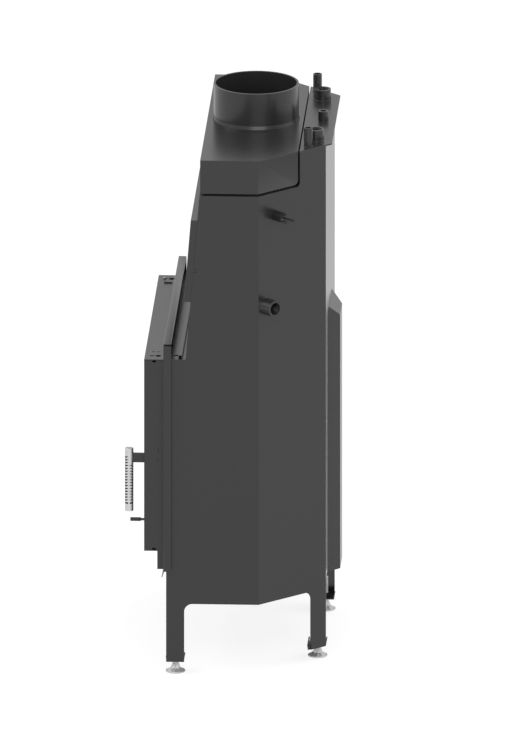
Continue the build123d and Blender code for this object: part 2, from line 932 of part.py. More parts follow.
with BuildPart() as air_nozzles:
    with BuildSketch(facing_plane(back_depth - room_inset)):
        with Locations(*nozzle_points):
            Circle(nozzle_radius)
            Circle(nozzle_bore, mode=Mode.SUBTRACT)
    extrude(amount=-room_inset)
finish(air_nozzles, "air_nozzles")

# Foot brackets: a flared channel with a welded nut, under each leg


def bracket_profile(middle):
    """The side view of a foot bracket around this depth."""
    low = leg_bottom
    high = leg_bottom + bracket_flange
    half = bracket_length / 2
    front, back = behind(middle - half), behind(middle + half)
    return [
        (front, low),
        (back, low),
        (back + bracket_flare, high),
        (back + bracket_flare - bracket_sheet, high),
        (back - bracket_sheet, low + bracket_sheet),
        (front + bracket_sheet, low + bracket_sheet),
        (front - bracket_flare + bracket_sheet, high),
        (front - bracket_flare, high),
    ]


front_foot = (half_width - foot_inset, front_depth + front_leg_width / 2)
rear_foot = (chamfer_x(0, back_depth) - rear_foot_inset, back_depth - bracket_length / 2)
with BuildPart() as foot_brackets:
    with BuildSketch(Plane.YZ.offset(front_foot[0] - bracket_length / 2)):
        outline_face(bracket_profile(front_foot[1]))
    extrude(amount=half_width - jacket_sheet - front_foot[0] + bracket_length / 2)
    with BuildSketch(Plane.YZ.offset(rear_foot[0] - bracket_length / 2)):
        outline_face(bracket_profile(rear_foot[1]))
    extrude(amount=2 * bracket_length)
    split(bisect_by=chamfer_plane(0, 0).offset(-jacket_sheet), keep=Keep.BOTTOM)
    with BuildSketch(Plane.XY.offset(leg_bottom + bracket_sheet)):
        for place in (front_foot, rear_foot):
            with Locations((place[0], behind(place[1]))):
                RegularPolygon(nut_radius, 6)
    extrude(amount=nut_height)
    with BuildSketch(Plane.XY.offset(leg_bottom)):
        for place in (front_foot, rear_foot):
            with Locations((place[0], behind(place[1]))):
                Circle(foot_stem_radius + stem_play)
    extrude(amount=bracket_sheet + nut_height, mode=Mode.SUBTRACT)
    mirror(about=Plane.YZ)
finish(foot_brackets, "foot_brackets")


def flute_points(radius, depth):
    """The points of a fluted ring: its ridges and hollows in turn."""
    points = []
    for index in range(2 * foot_flutes):
        reach = radius - depth * (index % 2)
        turn = pi * index / foot_flutes
        points.append((reach * cos(turn), reach * sin(turn)))
    return points


# Levelling feet: a disc, a fluted bell and a threaded stem
neck_start = foot_disc_height + foot_cone_height
with BuildPart() as levelling_foot:
    with BuildSketch(Plane.XY):
        Circle(foot_disc_radius)
    extrude(amount=foot_disc_height)
    chamfer(levelling_foot.edges(), foot_chamfer)
    with BuildSketch(Plane.XY.offset(foot_disc_height)):
        outline_face(flute_points(foot_disc_radius - foot_step, foot_flute_depth))
    with BuildSketch(Plane.XY.offset(foot_disc_height + foot_cone_height / 3)):
        outline_face(flute_points(foot_waist_radius, foot_flute_depth))
    with BuildSketch(Plane.XY.offset(neck_start)):
        outline_face(flute_points(foot_neck_radius, foot_flute_depth / 4))
    loft(ruled=True)
    with BuildSketch(Plane.XY.offset(neck_start)):
        Circle(foot_neck_radius - foot_chamfer)
    extrude(amount=leg_bottom - foot_gap - neck_start)
    with BuildSketch(Plane.XY.offset(neck_start)):
        Circle(foot_stem_radius)
    extrude(amount=foot_stem_length)

foot_places = {
    "foot_front_right": (front_foot[0], front_foot[1]),
    "foot_front_left": (-front_foot[0], front_foot[1]),
    "foot_rear_right": (rear_foot[0], rear_foot[1]),
    "foot_rear_left": (-rear_foot[0], rear_foot[1]),
}
for foot_name, (side, depth) in foot_places.items():
    with BuildPart() as foot:
        with Locations((side, behind(depth), 0)):
            add(levelling_foot.part)
    finish(foot, foot_name)

# Hearth plate and the bricks that line the firebox
grate_y = behind(grate_depth)
with BuildPart() as hearth_plate:
    with BuildSketch(Plane.XY.offset(hearth_height - hearth_sheet)):
        outline_face(body_outline(room_inset, front_back, back_depth - room_inset))
        with Locations((0, grate_y)):
            Rectangle(
                grate_width - 2 * grate_land, grate_length - 2 * grate_land, mode=Mode.SUBTRACT
            )
    extrude(amount=hearth_sheet)
finish(hearth_plate, "hearth_plate")

with BuildPart() as hearth_bricks:
    with BuildSketch(Plane.XY.offset(hearth_height)):
        outline_face(body_outline(brick_inset, front_back, back_depth - brick_inset))
        with Locations((0, grate_y)):
            Rectangle(grate_width + 2 * grate_play, grate_length + 2 * grate_play, mode=Mode.SUBTRACT)
    extrude(amount=hearth_brick)
finish(hearth_bricks, "hearth_bricks")

wall_face = body_outline(room_inset, front_back, back_depth - room_inset)
brick_face = body_outline(brick_inset, front_back, back_depth - brick_inset)
with BuildPart() as side_bricks:
    with BuildSketch(Plane.XY.offset(hearth_height)):
        outline_face([wall_face[1], wall_face[2], brick_face[2], brick_face[1]])
    extrude(amount=side_brick_height)
    with BuildSketch(Plane.XY.offset(hearth_height)):
        outline_face([wall_face[2], wall_face[3], brick_face[3], brick_face[2]])
    extrude(amount=side_brick_height)
    mirror(about=Plane.YZ)
finish(side_bricks, "side_bricks")

with BuildPart() as back_bricks:
    with BuildSketch(Plane.XY.offset(hearth_height)):
        outline_face([wall_face[3], wall_face[4], brick_face[4], brick_face[3]])
    extrude(amount=side_brick_height)
finish(back_bricks, "back_bricks")

# Cast iron grate and the ash pan under it
with BuildPart() as grate:
    with BuildSketch(Plane.XY.offset(hearth_height + grate_lift_gap)):
        with Locations((0, grate_y)):
            Rectangle(grate_width, grate_length)
    extrude(amount=grate_thickness)
    with BuildSketch(Plane.XY.offset(hearth_height + grate_lift_gap)):
        with Locations((0, grate_y)):
            with GridLocations(grate_slot_pitch, 0, grate_slots, 1):
                SlotOverall(grate_length - 2 * grate_rim, grate_slot_width, rotation=90)
    extrude(amount=grate_thickness, mode=Mode.SUBTRACT)
    upper = grate.faces().sort_by(Axis.Z)[-1].outer_wire().edges()
    chamfer(upper, grate_chamfer)
finish(grate, "grate")

with BuildPart() as ash_pan:
    with BuildSketch(Plane.XY.offset(jacket_bottom)):
        with Locations((0, grate_y)):
            Rectangle(
                grate_width - 2 * grate_land - 2 * ash_pan_play,
                grate_length - 2 * grate_land - 2 * ash_pan_play,
            )
    extrude(amount=ash_pan_height)
    offset(amount=-ash_pan_sheet, openings=ash_pan.faces().sort_by(Axis.Z)[-1])
finish(ash_pan, "ash_pan")

# Flame baffle: a sloped board that rests on four pegs and leans on the back wall
baffle_back = back_depth - room_inset
baffle_run = baffle_length * cos(radians(baffle_tilt))
baffle_rise = baffle_length * sin(radians(baffle_tilt))
baffle_lift = baffle_thickness / cos(radians(baffle_tilt))
baffle_rear_height = lower_plate_height - baffle_under_plate - baffle_rise - baffle_lift
with BuildPart() as flame_baffle:
    with BuildSketch(Plane.YZ):
        outline_face(
            [
                (behind(baffle_back), baffle_rear_height),
                (behind(baffle_back), baffle_rear_height + baffle_lift),
                (behind(baffle_back - baffle_run), baffle_rear_height + baffle_rise + baffle_lift),
                (behind(baffle_back - baffle_run), baffle_rear_height + baffle_rise),
            ]
        )
    extrude(amount=half_width, both=True)
    with BuildSketch(Plane.XY.offset(baffle_rear_height)):
        outline_face(body_outline(room_inset + baffle_play, front_back, baffle_back))
    extrude(amount=2 * baffle_rise, mode=Mode.INTERSECT)
finish(flame_baffle, "flame_baffle")

with BuildPart() as baffle_pegs:
    for share in (baffle_peg_front_share, baffle_peg_back_share):
        peg_y = behind(baffle_back - share * baffle_run)
        under = baffle_rear_height + share * baffle_rise
        peg_z = under - (baffle_peg_radius + baffle_peg_play) / cos(radians(baffle_tilt))
        peg_wall = min(half_width - room_inset, chamfer_x(room_inset, baffle_back - share * baffle_run))
        with BuildSketch(Plane.YZ.offset(peg_wall - baffle_peg_length)):
            with Locations((peg_y, peg_z)):
                Circle(baffle_peg_radius)
        extrude(amount=2 * baffle_peg_length)
    with BuildSketch(Plane.XY.offset(baffle_rear_height - baffle_rise)):
        outline_face(body_outline(room_inset, front_back, baffle_back))
    extrude(amount=3 * baffle_rise, mode=Mode.INTERSECT)
    mirror(about=Plane.YZ)
finish(baffle_pegs, "baffle_pegs")

# Door casing: a folded tube that runs back to the body, with slots for the hinge pins


def keyhole_face(side):
    """A pin slot and, behind it, a round service hole with a tongue."""
    with Locations((side, behind(hinge_depth + hinge_slot_travel / 2))):
        SlotCenterToCenter(hinge_slot_travel, 2 * (pin_radius + pin_play), rotation=90)
    with Locations((side, behind(service_hole_depth))):
        Circle(service_hole_radius)
    with Locations((side, behind(service_hole_depth - service_hole_radius + tongue_length / 2))):
        Rectangle(tongue_width, tongue_length, mode=Mode.SUBTRACT)


tab_slots = [
    (side_sign * tab_slot_side, behind(depth))
    for side_sign in (-1, 1)
    for depth in (tab_slot_first, tab_slot_second)
]
screw_points = [(behind(keeper_depth), keeper_screw_low), (behind(keeper_depth), keeper_screw_high)]
casing_slots = [
    (behind(casing_slot_depth), casing_bottom + casing_slot_edge),
    (behind(casing_slot_depth), casing_top - casing_slot_edge),
]
with BuildPart() as door_casing:
    with BuildSketch(facing_plane(0)):
        door_opening_face(casing_half_width, casing_half_height)
        door_opening_face(
            casing_half_width - casing_sheet, casing_half_height - casing_sheet, Mode.SUBTRACT
        )
    extrude(amount=-front_depth)
    with BuildSketch(Plane.XY.offset(casing_bottom)):
        keyhole_face(-hinge_side)
        keyhole_face(hinge_side)
        with Locations(*tab_slots):
            Rectangle(tab_slot_width, tab_slot_length)
    extrude(amount=casing_top - casing_bottom, mode=Mode.SUBTRACT)
    with BuildSketch(Plane.YZ):
        with Locations(*casing_slots):
            Rectangle(casing_slot_length, casing_slot_height)
    extrude(amount=casing_half_width, both=True, mode=Mode.SUBTRACT)
    with BuildSketch(Plane.YZ.offset(casing_half_width)):
        seam_top = casing_top - casing_sheet
        rectangle_face((behind(casing_sheet), seam_top - seam_width), (behind(front_depth), seam_top))
    extrude(amount=-seam_depth, mode=Mode.SUBTRACT)
    with BuildSketch(Plane.YZ.offset(casing_half_width)):
        with Locations(*screw_points):
            Circle(keeper_screw_radius)
    extrude(amount=-casing_sheet, mode=Mode.SUBTRACT)
finish(door_casing, "door_casing")

# Clip that is pushed through the tab slots over the hinge
leg_length = tab_slot_length - 2 * clip_play
with BuildPart() as hinge_clip:
    with BuildSketch(Plane.YZ.offset(-tab_slot_side - tab_slot_width / 2 + clip_play)):
        rectangle_face(
            (behind(tab_slot_first) - leg_length / 2, casing_top),
            (behind(tab_slot_second) + leg_length / 2, casing_top + hinge_clip_rise),
        )
        for depth in (tab_slot_first, tab_slot_second):
            rectangle_face(
                (behind(depth) - leg_length / 2, casing_top - casing_sheet),
                (behind(depth) + leg_length / 2, casing_top),
            )
    extrude(amount=tab_slot_width - 2 * clip_play)
finish(hinge_clip, "hinge_clip")

# Facing frame round the casing: a flat sheet with flanges folded back and a bent lip below
facing_side = half_width + facing_past
facing_back = facing_front + facing_depth
with BuildPart() as facing_frame:
    with BuildSketch(facing_plane(facing_front)) as facing_sketch:
        rectangle_face((-facing_side, facing_bottom), (facing_side, facing_top))
        upper = facing_sketch.vertices().group_by(Axis.Z)[-1]
        fillet(upper, facing_corner)
        door_opening_face(
            casing_half_width + facing_play, casing_half_height + facing_play, Mode.SUBTRACT
        )
        lever_slot_face(Mode.SUBTRACT)
    extrude(amount=-facing_sheet)
    with BuildSketch(Plane.XY.offset(facing_top - facing_sheet)) as top_flange:
        flange_side = facing_side - facing_corner
        rectangle_face((-flange_side, behind(facing_front)), (flange_side, behind(facing_back)))
        fillet(top_flange.vertices().group_by(Axis.Y)[-1], facing_flange_corner)
    extrude(amount=facing_sheet)
    with BuildSketch(Plane.XY.offset(facing_bottom)):
        flange_x = facing_side - facing_sheet / 2
        flange_y = behind(facing_front + facing_depth / 2)
        with Locations((-flange_x, flange_y), (flange_x, flange_y)):
            Rectangle(facing_sheet, facing_depth)
    extrude(amount=facing_top - facing_corner - facing_bottom)
    with BuildSketch(Plane.YZ):
        low = facing_bottom - lip_drop
        lip_step = lip_drop * tan(radians(lip_lean))
        outline_face(
            [
                (behind(facing_front), facing_bottom),
                (behind(facing_front + facing_sheet), facing_bottom),
                (behind(facing_front + facing_sheet) - lip_step, low),
                (behind(facing_front) - lip_step, low),
            ]
        )
    extrude(amount=facing_side, both=True)
    bend = facing_frame.edges().filter_by(Axis.X).group_by(Axis.Z)[-1].sort_by(Axis.Y)[0]
    fillet(bend, facing_sheet - facing_bend_play)
finish(facing_frame, "facing_frame")

# Apron under the casing: a shallow trough over the air lever
with BuildPart() as air_apron:
    with BuildSketch(Plane.YZ):
        rectangle_face((behind(apron_front), apron_bottom), (behind(facing_front), casing_bottom))
    extrude(amount=casing_half_width, both=True)
    with BuildSketch(Plane.YZ):
        rectangle_face(
            (behind(apron_front + apron_sheet), apron_bottom + apron_sheet),
            (behind(facing_front + cut_past), casing_bottom - apron_sheet),
        )
    extrude(amount=casing_half_width - apron_sheet, both=True, mode=Mode.SUBTRACT)
    with BuildSketch(facing_plane(apron_front)):
        lever_slot_face()
    extrude(amount=-apron_sheet, mode=Mode.SUBTRACT)
finish(air_apron, "air_apron")

# Seat frame that the door closes on
with BuildPart() as door_seat_frame:
    with BuildSketch(facing_plane(seat_front)):
        door_opening_face(casing_half_width - casing_sheet, casing_half_height - casing_sheet)
        door_opening_face(seat_half_width, seat_half_height, Mode.SUBTRACT)
    extrude(amount=-seat_sheet)
    with BuildSketch(facing_plane(seat_front + seat_sheet)):
        door_opening_face(seat_half_width + seat_sheet, seat_half_height + seat_sheet)
        door_opening_face(seat_half_width, seat_half_height, Mode.SUBTRACT)
    extrude(amount=seat_front + seat_sheet - front_depth)
finish(door_seat_frame, "door_seat_frame")

# Air lever: rod, shutter plate and the guides that hold it to the front plate
plate_front = front_depth + jacket_sheet + slide_gap
with BuildPart() as air_shutter:
    with BuildSketch(facing_plane(plate_front)):
        with Locations((0, lever_height)):
            Rectangle(slide_plate_width, slide_plate_height)
        air_holes_face()
    extrude(amount=-slide_plate_sheet)
    with BuildSketch(facing_plane(plate_front)):
        with Locations((0, lever_height)):
            Circle(lever_radius)
    extrude(amount=plate_front + lever_reach - grip_length / 2)
finish(air_shutter, "air_shutter")

with BuildPart() as lever_grip:
    with BuildSketch(facing_plane(-lever_reach + grip_length)):
        with Locations((0, lever_height)):
            Circle(grip_radius)
    extrude(amount=grip_length)
    fillet(lever_grip.edges(), grip_radius / 3)
    with BuildSketch(facing_plane(-lever_reach + grip_length + neck_length)):
        with Locations((0, lever_height)):
            Circle(neck_radius)
    extrude(amount=neck_length + grip_length / 2)
    with BuildSketch(facing_plane(-lever_reach + grip_length + neck_length)):
        with Locations((0, lever_height)):
            Circle(lever_radius)
    extrude(amount=neck_length + grip_length / 2, mode=Mode.SUBTRACT)
finish(lever_grip, "lever_grip")

with BuildPart() as shutter_guides:
    with BuildSketch(Plane.YZ):
        start = front_depth + jacket_sheet
        stop = plate_front + slide_plate_sheet + slide_gap
        edge = lever_height + slide_plate_height / 2 + slide_gap
        rectangle_face((behind(start), edge), (behind(stop + guide_sheet), edge + guide_sheet))
        rectangle_face((behind(stop), edge - guide_overlap), (behind(stop + guide_sheet), edge))
    extrude(amount=slide_plate_width / 2 + lever_travel, both=True)
    mirror(about=Plane.XY.offset(lever_height))
finish(shutter_guides, "shutter_guides")

# Latch keeper: a small bracket on the casing wall that carries a roller on a pin
keeper_face = casing_half_width - casing_sheet
roller_side = keeper_face - keeper_sheet - keeper_roller_gap - keeper_roller_radius
roller_low = keeper_bottom + keeper_sheet + keeper_roller_gap
roller_high = keeper_screw_low - screw_head_radius - keeper_sheet - keeper_roller_gap
with BuildPart() as latch_keeper:
    with BuildSketch(Plane.YZ.offset(keeper_face - keeper_sheet)):
        rectangle_face(
            (behind(keeper_depth - keeper_half_depth), keeper_bottom),
            (behind(keeper_depth + keeper_half_depth), keeper_top),
        )
        with Locations(*screw_points):
            Circle(keeper_screw_radius, mode=Mode.SUBTRACT)
    extrude(amount=keeper_sheet)
    ear_planes = [Plane.XY.offset(keeper_bottom), Plane.XY.offset(roller_high + keeper_roller_gap)]
    with BuildSketch(*ear_planes):
        with Locations((roller_side, behind(keeper_depth))):
            Circle(keeper_roller_radius)
        ear_half = (keeper_face - keeper_sheet - roller_side) / 2
        with Locations((roller_side + ear_half, behind(keeper_depth))):
            Rectangle(2 * ear_half, 2 * keeper_roller_radius)
        with Locations((roller_side, behind(keeper_depth))):
            Circle(keeper_pin_radius, mode=Mode.SUBTRACT)
    extrude(amount=keeper_sheet)
finish(latch_keeper, "latch_keeper")

with BuildPart() as keeper_roller:
    with BuildSketch(Plane.XY.offset(roller_low)):
        with Locations((roller_side, behind(keeper_depth))):
            Circle(keeper_roller_radius)
    extrude(amount=roller_high - roller_low)
    with BuildSketch(Plane.XY.offset(keeper_bottom)):
        with Locations((roller_side, behind(keeper_depth))):
            Circle(keeper_pin_radius)
    extrude(amount=roller_high + keeper_roller_gap + keeper_sheet - keeper_bottom)
finish(keeper_roller, "keeper_roller")

with BuildPart() as keeper_screws:
    with BuildSketch(Plane.YZ.offset(casing_half_width)):
        with Locations(*screw_points):
            Circle(screw_head_radius)
    extrude(amount=screw_head_height)
    chamfer(keeper_screws.edges().group_by(Axis.X)[-1], screw_head_height / 3)
    with BuildSketch(Plane.YZ.offset(casing_half_width + screw_head_height)):
        with Locations(*screw_points):
            RegularPolygon(keeper_screw_radius / 2, 6)
    extrude(amount=-screw_head_height / 2, mode=Mode.SUBTRACT)
    with BuildSketch(Plane.YZ.offset(casing_half_width)):
        with Locations(*screw_points):
            Circle(keeper_screw_radius)
    extrude(amount=-casing_sheet - keeper_sheet)
finish(keeper_screws, "keeper_screws")

# Door frame: folded front sheet, return, rope channel, pin bosses and latch ears
view_half_width = door_half_width - door_rim
view_half_height = door_half_height - door_rim
sheet_back = door_front + door_sheet
rope_back = seat_front - rope_gap
rope_front = rope_back - rope_width - rope_chamfer
door_bottom = casing_middle - door_half_height
door_top = casing_middle + door_half_height
hinge_x = -hinge_side
boss_bottom = door_bottom + door_sheet
boss_top = door_top - door_sheet
barrel_low = handle_plate_low
barrel_high = handle_plate_high


def door_ring(inset, wall):
    """A closed rectangular ring in the face of the door, this far inside the gasket carrier."""
    door_opening_face(carrier_wide - inset, carrier_high - inset)
    door_opening_face(carrier_wide - inset - wall, carrier_high - inset - wall, Mode.SUBTRACT)


with BuildPart() as door_frame:
    with BuildSketch(facing_plane(door_front)):
        door_opening_face(door_half_width, door_half_height)
        door_opening_face(view_half_width, view_half_height, Mode.SUBTRACT)
    extrude(amount=-door_sheet)
    with BuildSketch(facing_plane(sheet_back)):
        door_opening_face(door_half_width, door_half_height)
        door_opening_face(door_half_width - door_sheet, door_half_height - door_sheet, Mode.SUBTRACT)
    extrude(amount=-(door_return - door_sheet))
    with BuildSketch(facing_plane(sheet_back)):
        door_ring(0, door_sheet)
    extrude(amount=-(rope_front + channel_wall - sheet_back))
    with BuildSketch(facing_plane(rope_front - door_sheet)):
        door_ring(door_sheet, rope_width)
    extrude(amount=-door_sheet)
    with BuildSketch(facing_plane(rope_front - door_sheet)):
        door_ring(door_sheet + rope_width, door_sheet)
    extrude(amount=-(door_sheet + channel_wall))
    with BuildSketch(Plane.XY.offset(boss_bottom), Plane.XY.offset(boss_top - pin_boss_length)):
        with Locations((hinge_x, behind(hinge_depth))):
            Circle(pin_boss_radius)
    extrude(amount=pin_boss_length)
    with BuildSketch(Plane.XY.offset(door_bottom), Plane.XY.offset(boss_top - pin_boss_length)):
        with Locations((hinge_x, behind(hinge_depth))):
            Circle(pin_radius)
    extrude(amount=door_sheet + pin_boss_length, mode=Mode.SUBTRACT)
    with BuildSketch(
        Plane.XY.offset(barrel_low - ear_gap - ear_sheet), Plane.XY.offset(barrel_high + ear_gap)
    ):
        rectangle_face(
            (carrier_wide, behind(sheet_back)),
            (door_half_width - door_sheet, behind(door_front + door_return)),
        )
        with Locations((handle_side, behind(latch_depth))):
            Circle(latch_pin_radius, mode=Mode.SUBTRACT)
    extrude(amount=ear_sheet)
    with BuildSketch(facing_plane(door_front)):
        swing_reach = (latch_depth - door_front) * sin(radians(latch_swing))
        plate_half = handle_plate / 2 / cos(radians(latch_swing)) + handle_plate_play
        rectangle_face(
            (handle_side - plate_half, handle_plate_low - handle_plate_play),
            (handle_side + plate_half + swing_reach, handle_plate_high + handle_plate_play),
        )
    extrude(amount=-door_sheet, mode=Mode.SUBTRACT)
finish(door_frame, "door_frame")

# Glass pane on a soft tape, held from behind by small clips
glass_wide = view_half_width + glass_lap
glass_high = view_half_height + glass_lap
glass_front = sheet_back + tape_thickness
glass_back = glass_front + glass_thickness
with BuildPart() as door_glass:
    with BuildSketch(facing_plane(glass_front)):
        door_opening_face(glass_wide, glass_high)
    extrude(amount=-glass_thickness)
    chamfer(door_glass.edges().filter_by(Axis.Y, reverse=True), glass_chamfer)
finish(door_glass, "door_glass")

with BuildPart() as glass_tape:
    with BuildSketch(facing_plane(sheet_back)):
        door_opening_face(glass_wide - tape_inset, glass_high - tape_inset)
        door_opening_face(view_half_width + tape_inset, view_half_height + tape_inset, Mode.SUBTRACT)
    extrude(amount=-tape_thickness)
finish(glass_tape, "glass_tape")

with BuildPart() as glass_clips:
    with BuildSketch(facing_plane(glass_back)):
        across = glass_clip_share * carrier_wide
        upward = glass_clip_share * carrier_high
        with Locations((-across, casing_middle), (across, casing_middle)):
            Rectangle(glass_clip_width, 2 * carrier_high)
        with Locations((0, casing_middle - upward), (0, casing_middle + upward)):
            Rectangle(2 * carrier_wide, glass_clip_width)
        door_opening_face(carrier_wide - door_sheet, carrier_high - door_sheet, Mode.INTERSECT)
        door_opening_face(view_half_width + tape_inset, view_half_height + tape_inset, Mode.SUBTRACT)
    extrude(amount=-glass_clip_sheet)
finish(glass_clips, "glass_clips")

# Rope gasket in the channel of the door
with BuildPart() as door_gasket:
    with BuildSketch(facing_plane(rope_front)):
        door_ring(door_sheet, rope_width)
    extrude(amount=rope_front - rope_back)
    chamfer(door_gasket.faces().sort_by(Axis.Y)[-1].edges(), rope_chamfer)
finish(door_gasket, "door_gasket")

# Hinge pins, the lower one with a shoulder, and the pin of the latch
with BuildPart() as door_pins:
    with BuildSketch(Plane.XY.offset(boss_top - pin_boss_length)):
        with Locations((hinge_x, behind(hinge_depth))):
            Circle(pin_radius)
    extrude(amount=casing_top + pin_proud - boss_top + pin_boss_length)
    with BuildSketch(Plane.XY.offset(casing_bottom - pin_proud)):
        with Locations((hinge_x, behind(hinge_depth))):
            Circle(pin_radius)
    extrude(amount=boss_bottom + pin_boss_length - casing_bottom + pin_proud)
    with BuildSketch(Plane.XY.offset(casing_bottom + casing_sheet + pin_head_play)):
        with Locations((hinge_x, behind(hinge_depth))):
            Circle(2 * pin_radius)
    extrude(amount=door_gap - pin_head_play)
    with BuildSketch(Plane.XY.offset(barrel_low - ear_gap - ear_sheet)):
        with Locations((handle_side, behind(latch_depth))):
            Circle(latch_pin_radius)
    extrude(amount=barrel_high - barrel_low + 2 * (ear_gap + ear_sheet))
finish(door_pins, "door_pins")

# Handle bracket: a plate from the grip to the latch barrel, and the hook behind it
hook_tip = roller_side - keeper_roller_radius - latch_hook_gap
with BuildPart() as handle_bracket:
    with BuildSketch(Plane.XY.offset(handle_plate_low)):
        rectangle_face(
            (handle_side - handle_plate / 2, behind(-handle_reach)),
            (handle_side + handle_plate / 2, behind(latch_depth)),
        )
        with Locations((handle_side, behind(-handle_reach))):
            Circle(handle_radius, mode=Mode.SUBTRACT)
        with Locations((handle_side, behind(latch_depth))):
            Circle(latch_barrel_radius)
    extrude(amount=handle_plate_high - handle_plate_low)
    with BuildSketch(Plane.XY.offset(handle_plate_low)):
        outline_face(
            [
                (handle_side, behind(latch_depth)),
                (handle_side + latch_hook_arm, behind(latch_depth)),
                (handle_side + latch_hook_arm, behind(latch_hook_start)),
                (hook_tip, behind(latch_hook_start)),
                (hook_tip, behind(latch_hook_end)),
                (handle_side, behind(latch_hook_end)),
            ]
        )
    extrude(amount=latch_hook_height)
    with BuildSketch(Plane.XY.offset(handle_plate_low)):
        with Locations((handle_side, behind(latch_depth))):
            Circle(latch_pin_radius + latch_pin_play)
    extrude(amount=handle_plate_high - handle_plate_low, mode=Mode.SUBTRACT)
finish(handle_bracket, "handle_bracket")

# Handle grip: a closed tube with rows of cooling slots on four sides
tube_axis = Location((handle_side, behind(-handle_reach), 0))
vent_bottom = handle_bottom + vent_first - vent_height / 2


def vent_planes(rows):
    """One plane for each row of slots, from the bottom up."""
    return [Plane.XY.offset(vent_bottom + row * vent_pitch) for row in range(rows)]


def vent_sector(across, along):
    """A sector of the grip around its axis, in the quarter with these signs of X and Y."""
    reach = 2 * handle_radius
    middle = radians(vent_turn)
    half_arc = radians(vent_arc / 2)
    tip = reach / cos(half_arc)
    points = [(0, 0)]
    for size, turn in ((reach, middle - half_arc), (tip, middle), (reach, middle + half_arc)):
        points.append((across * size * cos(turn), along * size * sin(turn)))
    with Locations(tube_axis):
        outline_face(points)


with BuildPart() as handle_tube:
    with BuildSketch(Plane.XY.offset(handle_bottom)):
        with Locations(tube_axis):
            Circle(handle_radius)
    extrude(amount=handle_top - handle_bottom)
    chamfer(handle_tube.edges(), handle_wall / 2)
    with BuildSketch(Plane.XY.offset(handle_bottom + handle_cap)):
        with Locations(tube_axis):
            Circle(handle_radius - handle_wall)
    extrude(amount=handle_top - handle_bottom - 2 * handle_cap, mode=Mode.SUBTRACT)
    with BuildSketch(*vent_planes(vent_rows)):
        vent_sector(1, -1)
        vent_sector(-1, -1)
    extrude(amount=vent_height, mode=Mode.SUBTRACT)
    with BuildSketch(*vent_planes(vent_short_rows)):
        vent_sector(1, 1)
        vent_sector(-1, 1)
    extrude(amount=vent_height, mode=Mode.SUBTRACT)
finish(handle_tube, "handle_tube")
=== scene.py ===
# %% [markdown]
# Dressing a water jacket fireplace insert.
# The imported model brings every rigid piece, in metres and in its place. This lesson gives the pieces
# their finishes, swaps the plain brick linings for single bricks, cuts threads where pipes screw in,
# and sets up a pale studio with the camera that matches the photograph.

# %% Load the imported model
import json
import math
import random

import bmesh
import bpy
from mathutils import Matrix, Vector


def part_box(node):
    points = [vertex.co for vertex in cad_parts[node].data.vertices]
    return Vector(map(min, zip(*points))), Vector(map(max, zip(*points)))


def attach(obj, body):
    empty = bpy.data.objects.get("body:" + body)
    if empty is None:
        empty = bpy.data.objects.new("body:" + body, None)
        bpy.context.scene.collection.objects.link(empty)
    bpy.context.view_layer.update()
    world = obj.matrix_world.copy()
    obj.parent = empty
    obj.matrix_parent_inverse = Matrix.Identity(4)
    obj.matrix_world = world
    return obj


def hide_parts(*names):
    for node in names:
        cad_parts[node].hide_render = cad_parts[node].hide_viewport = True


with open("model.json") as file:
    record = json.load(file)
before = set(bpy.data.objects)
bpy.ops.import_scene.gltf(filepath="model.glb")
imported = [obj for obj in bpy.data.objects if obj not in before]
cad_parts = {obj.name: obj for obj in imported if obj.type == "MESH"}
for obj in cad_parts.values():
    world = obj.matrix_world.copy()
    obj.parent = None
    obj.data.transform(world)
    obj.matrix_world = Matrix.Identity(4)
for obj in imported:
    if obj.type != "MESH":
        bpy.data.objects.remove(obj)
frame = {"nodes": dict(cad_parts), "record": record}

random.seed(11)
insert_nodes = frame["nodes"]
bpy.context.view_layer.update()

# %% [markdown]
# Colours. The coating was picked from the photograph as display levels from 0 to 255, and Blender's
# shaders work with linear light. One small function turns the first into the second, so every colour
# below can be written as it looks on a screen.

# %% Turn display levels into linear colours
def shown(red, green, blue):
    """A display colour, 0 to 255, as linear red, green, blue and alpha."""
    levels = [value / 255 for value in (red, green, blue)]
    linear = [v / 12.92 if v <= 0.04045 else ((v + 0.055) / 1.055) ** 2.4 for v in levels]
    return (*linear, 1.0)


print("mid grey:", [round(v, 3) for v in shown(128, 128, 128)])

# %% [markdown]
# Effects that several finishes share are node groups. A group has named inputs and outputs, so the same
# grain can be coarse on a brick and fine on a coated sheet. Two helpers keep the group code short: one
# makes the group with its sockets, and the other adds a node and sets its values.

# %% Helpers that build shader node groups
def effect_group(name, inputs, outputs):
    """A new shader group. Inputs are (name, socket type, default) and outputs are (name, socket type)."""
    group = bpy.data.node_groups.new(name, "ShaderNodeTree")
    for label, kind, default in inputs:
        socket = group.interface.new_socket(name=label, in_out="INPUT", socket_type=kind)
        socket.default_value = default
    for label, kind in outputs:
        group.interface.new_socket(name=label, in_out="OUTPUT", socket_type=kind)
    entry = group.nodes.new("NodeGroupInput")
    leave = group.nodes.new("NodeGroupOutput")
    print("group:", name)
    return group, entry, leave


def add_node(tree, kind, values=(), **settings):
    """A node with its settings, and its input sockets filled by name or number."""
    node = tree.nodes.new(kind)
    for label, value in settings.items():
        setattr(node, label, value)
    for label, value in dict(values).items():
        node.inputs[label].default_value = value
    return node


FLOAT = "NodeSocketFloat"
COLOUR = "NodeSocketColor"

# %% [markdown]
# Powder coat is sprayed as dry powder and baked, so it flows into a skin with a very fine orange peel.
# A painter would see three things: a slow drift in tone, a fine ripple that breaks up reflections, and a
# gloss that changes a little from place to place. A displacement would be far too heavy for a ripple
# under a tenth of a millimetre, so it is a bump.

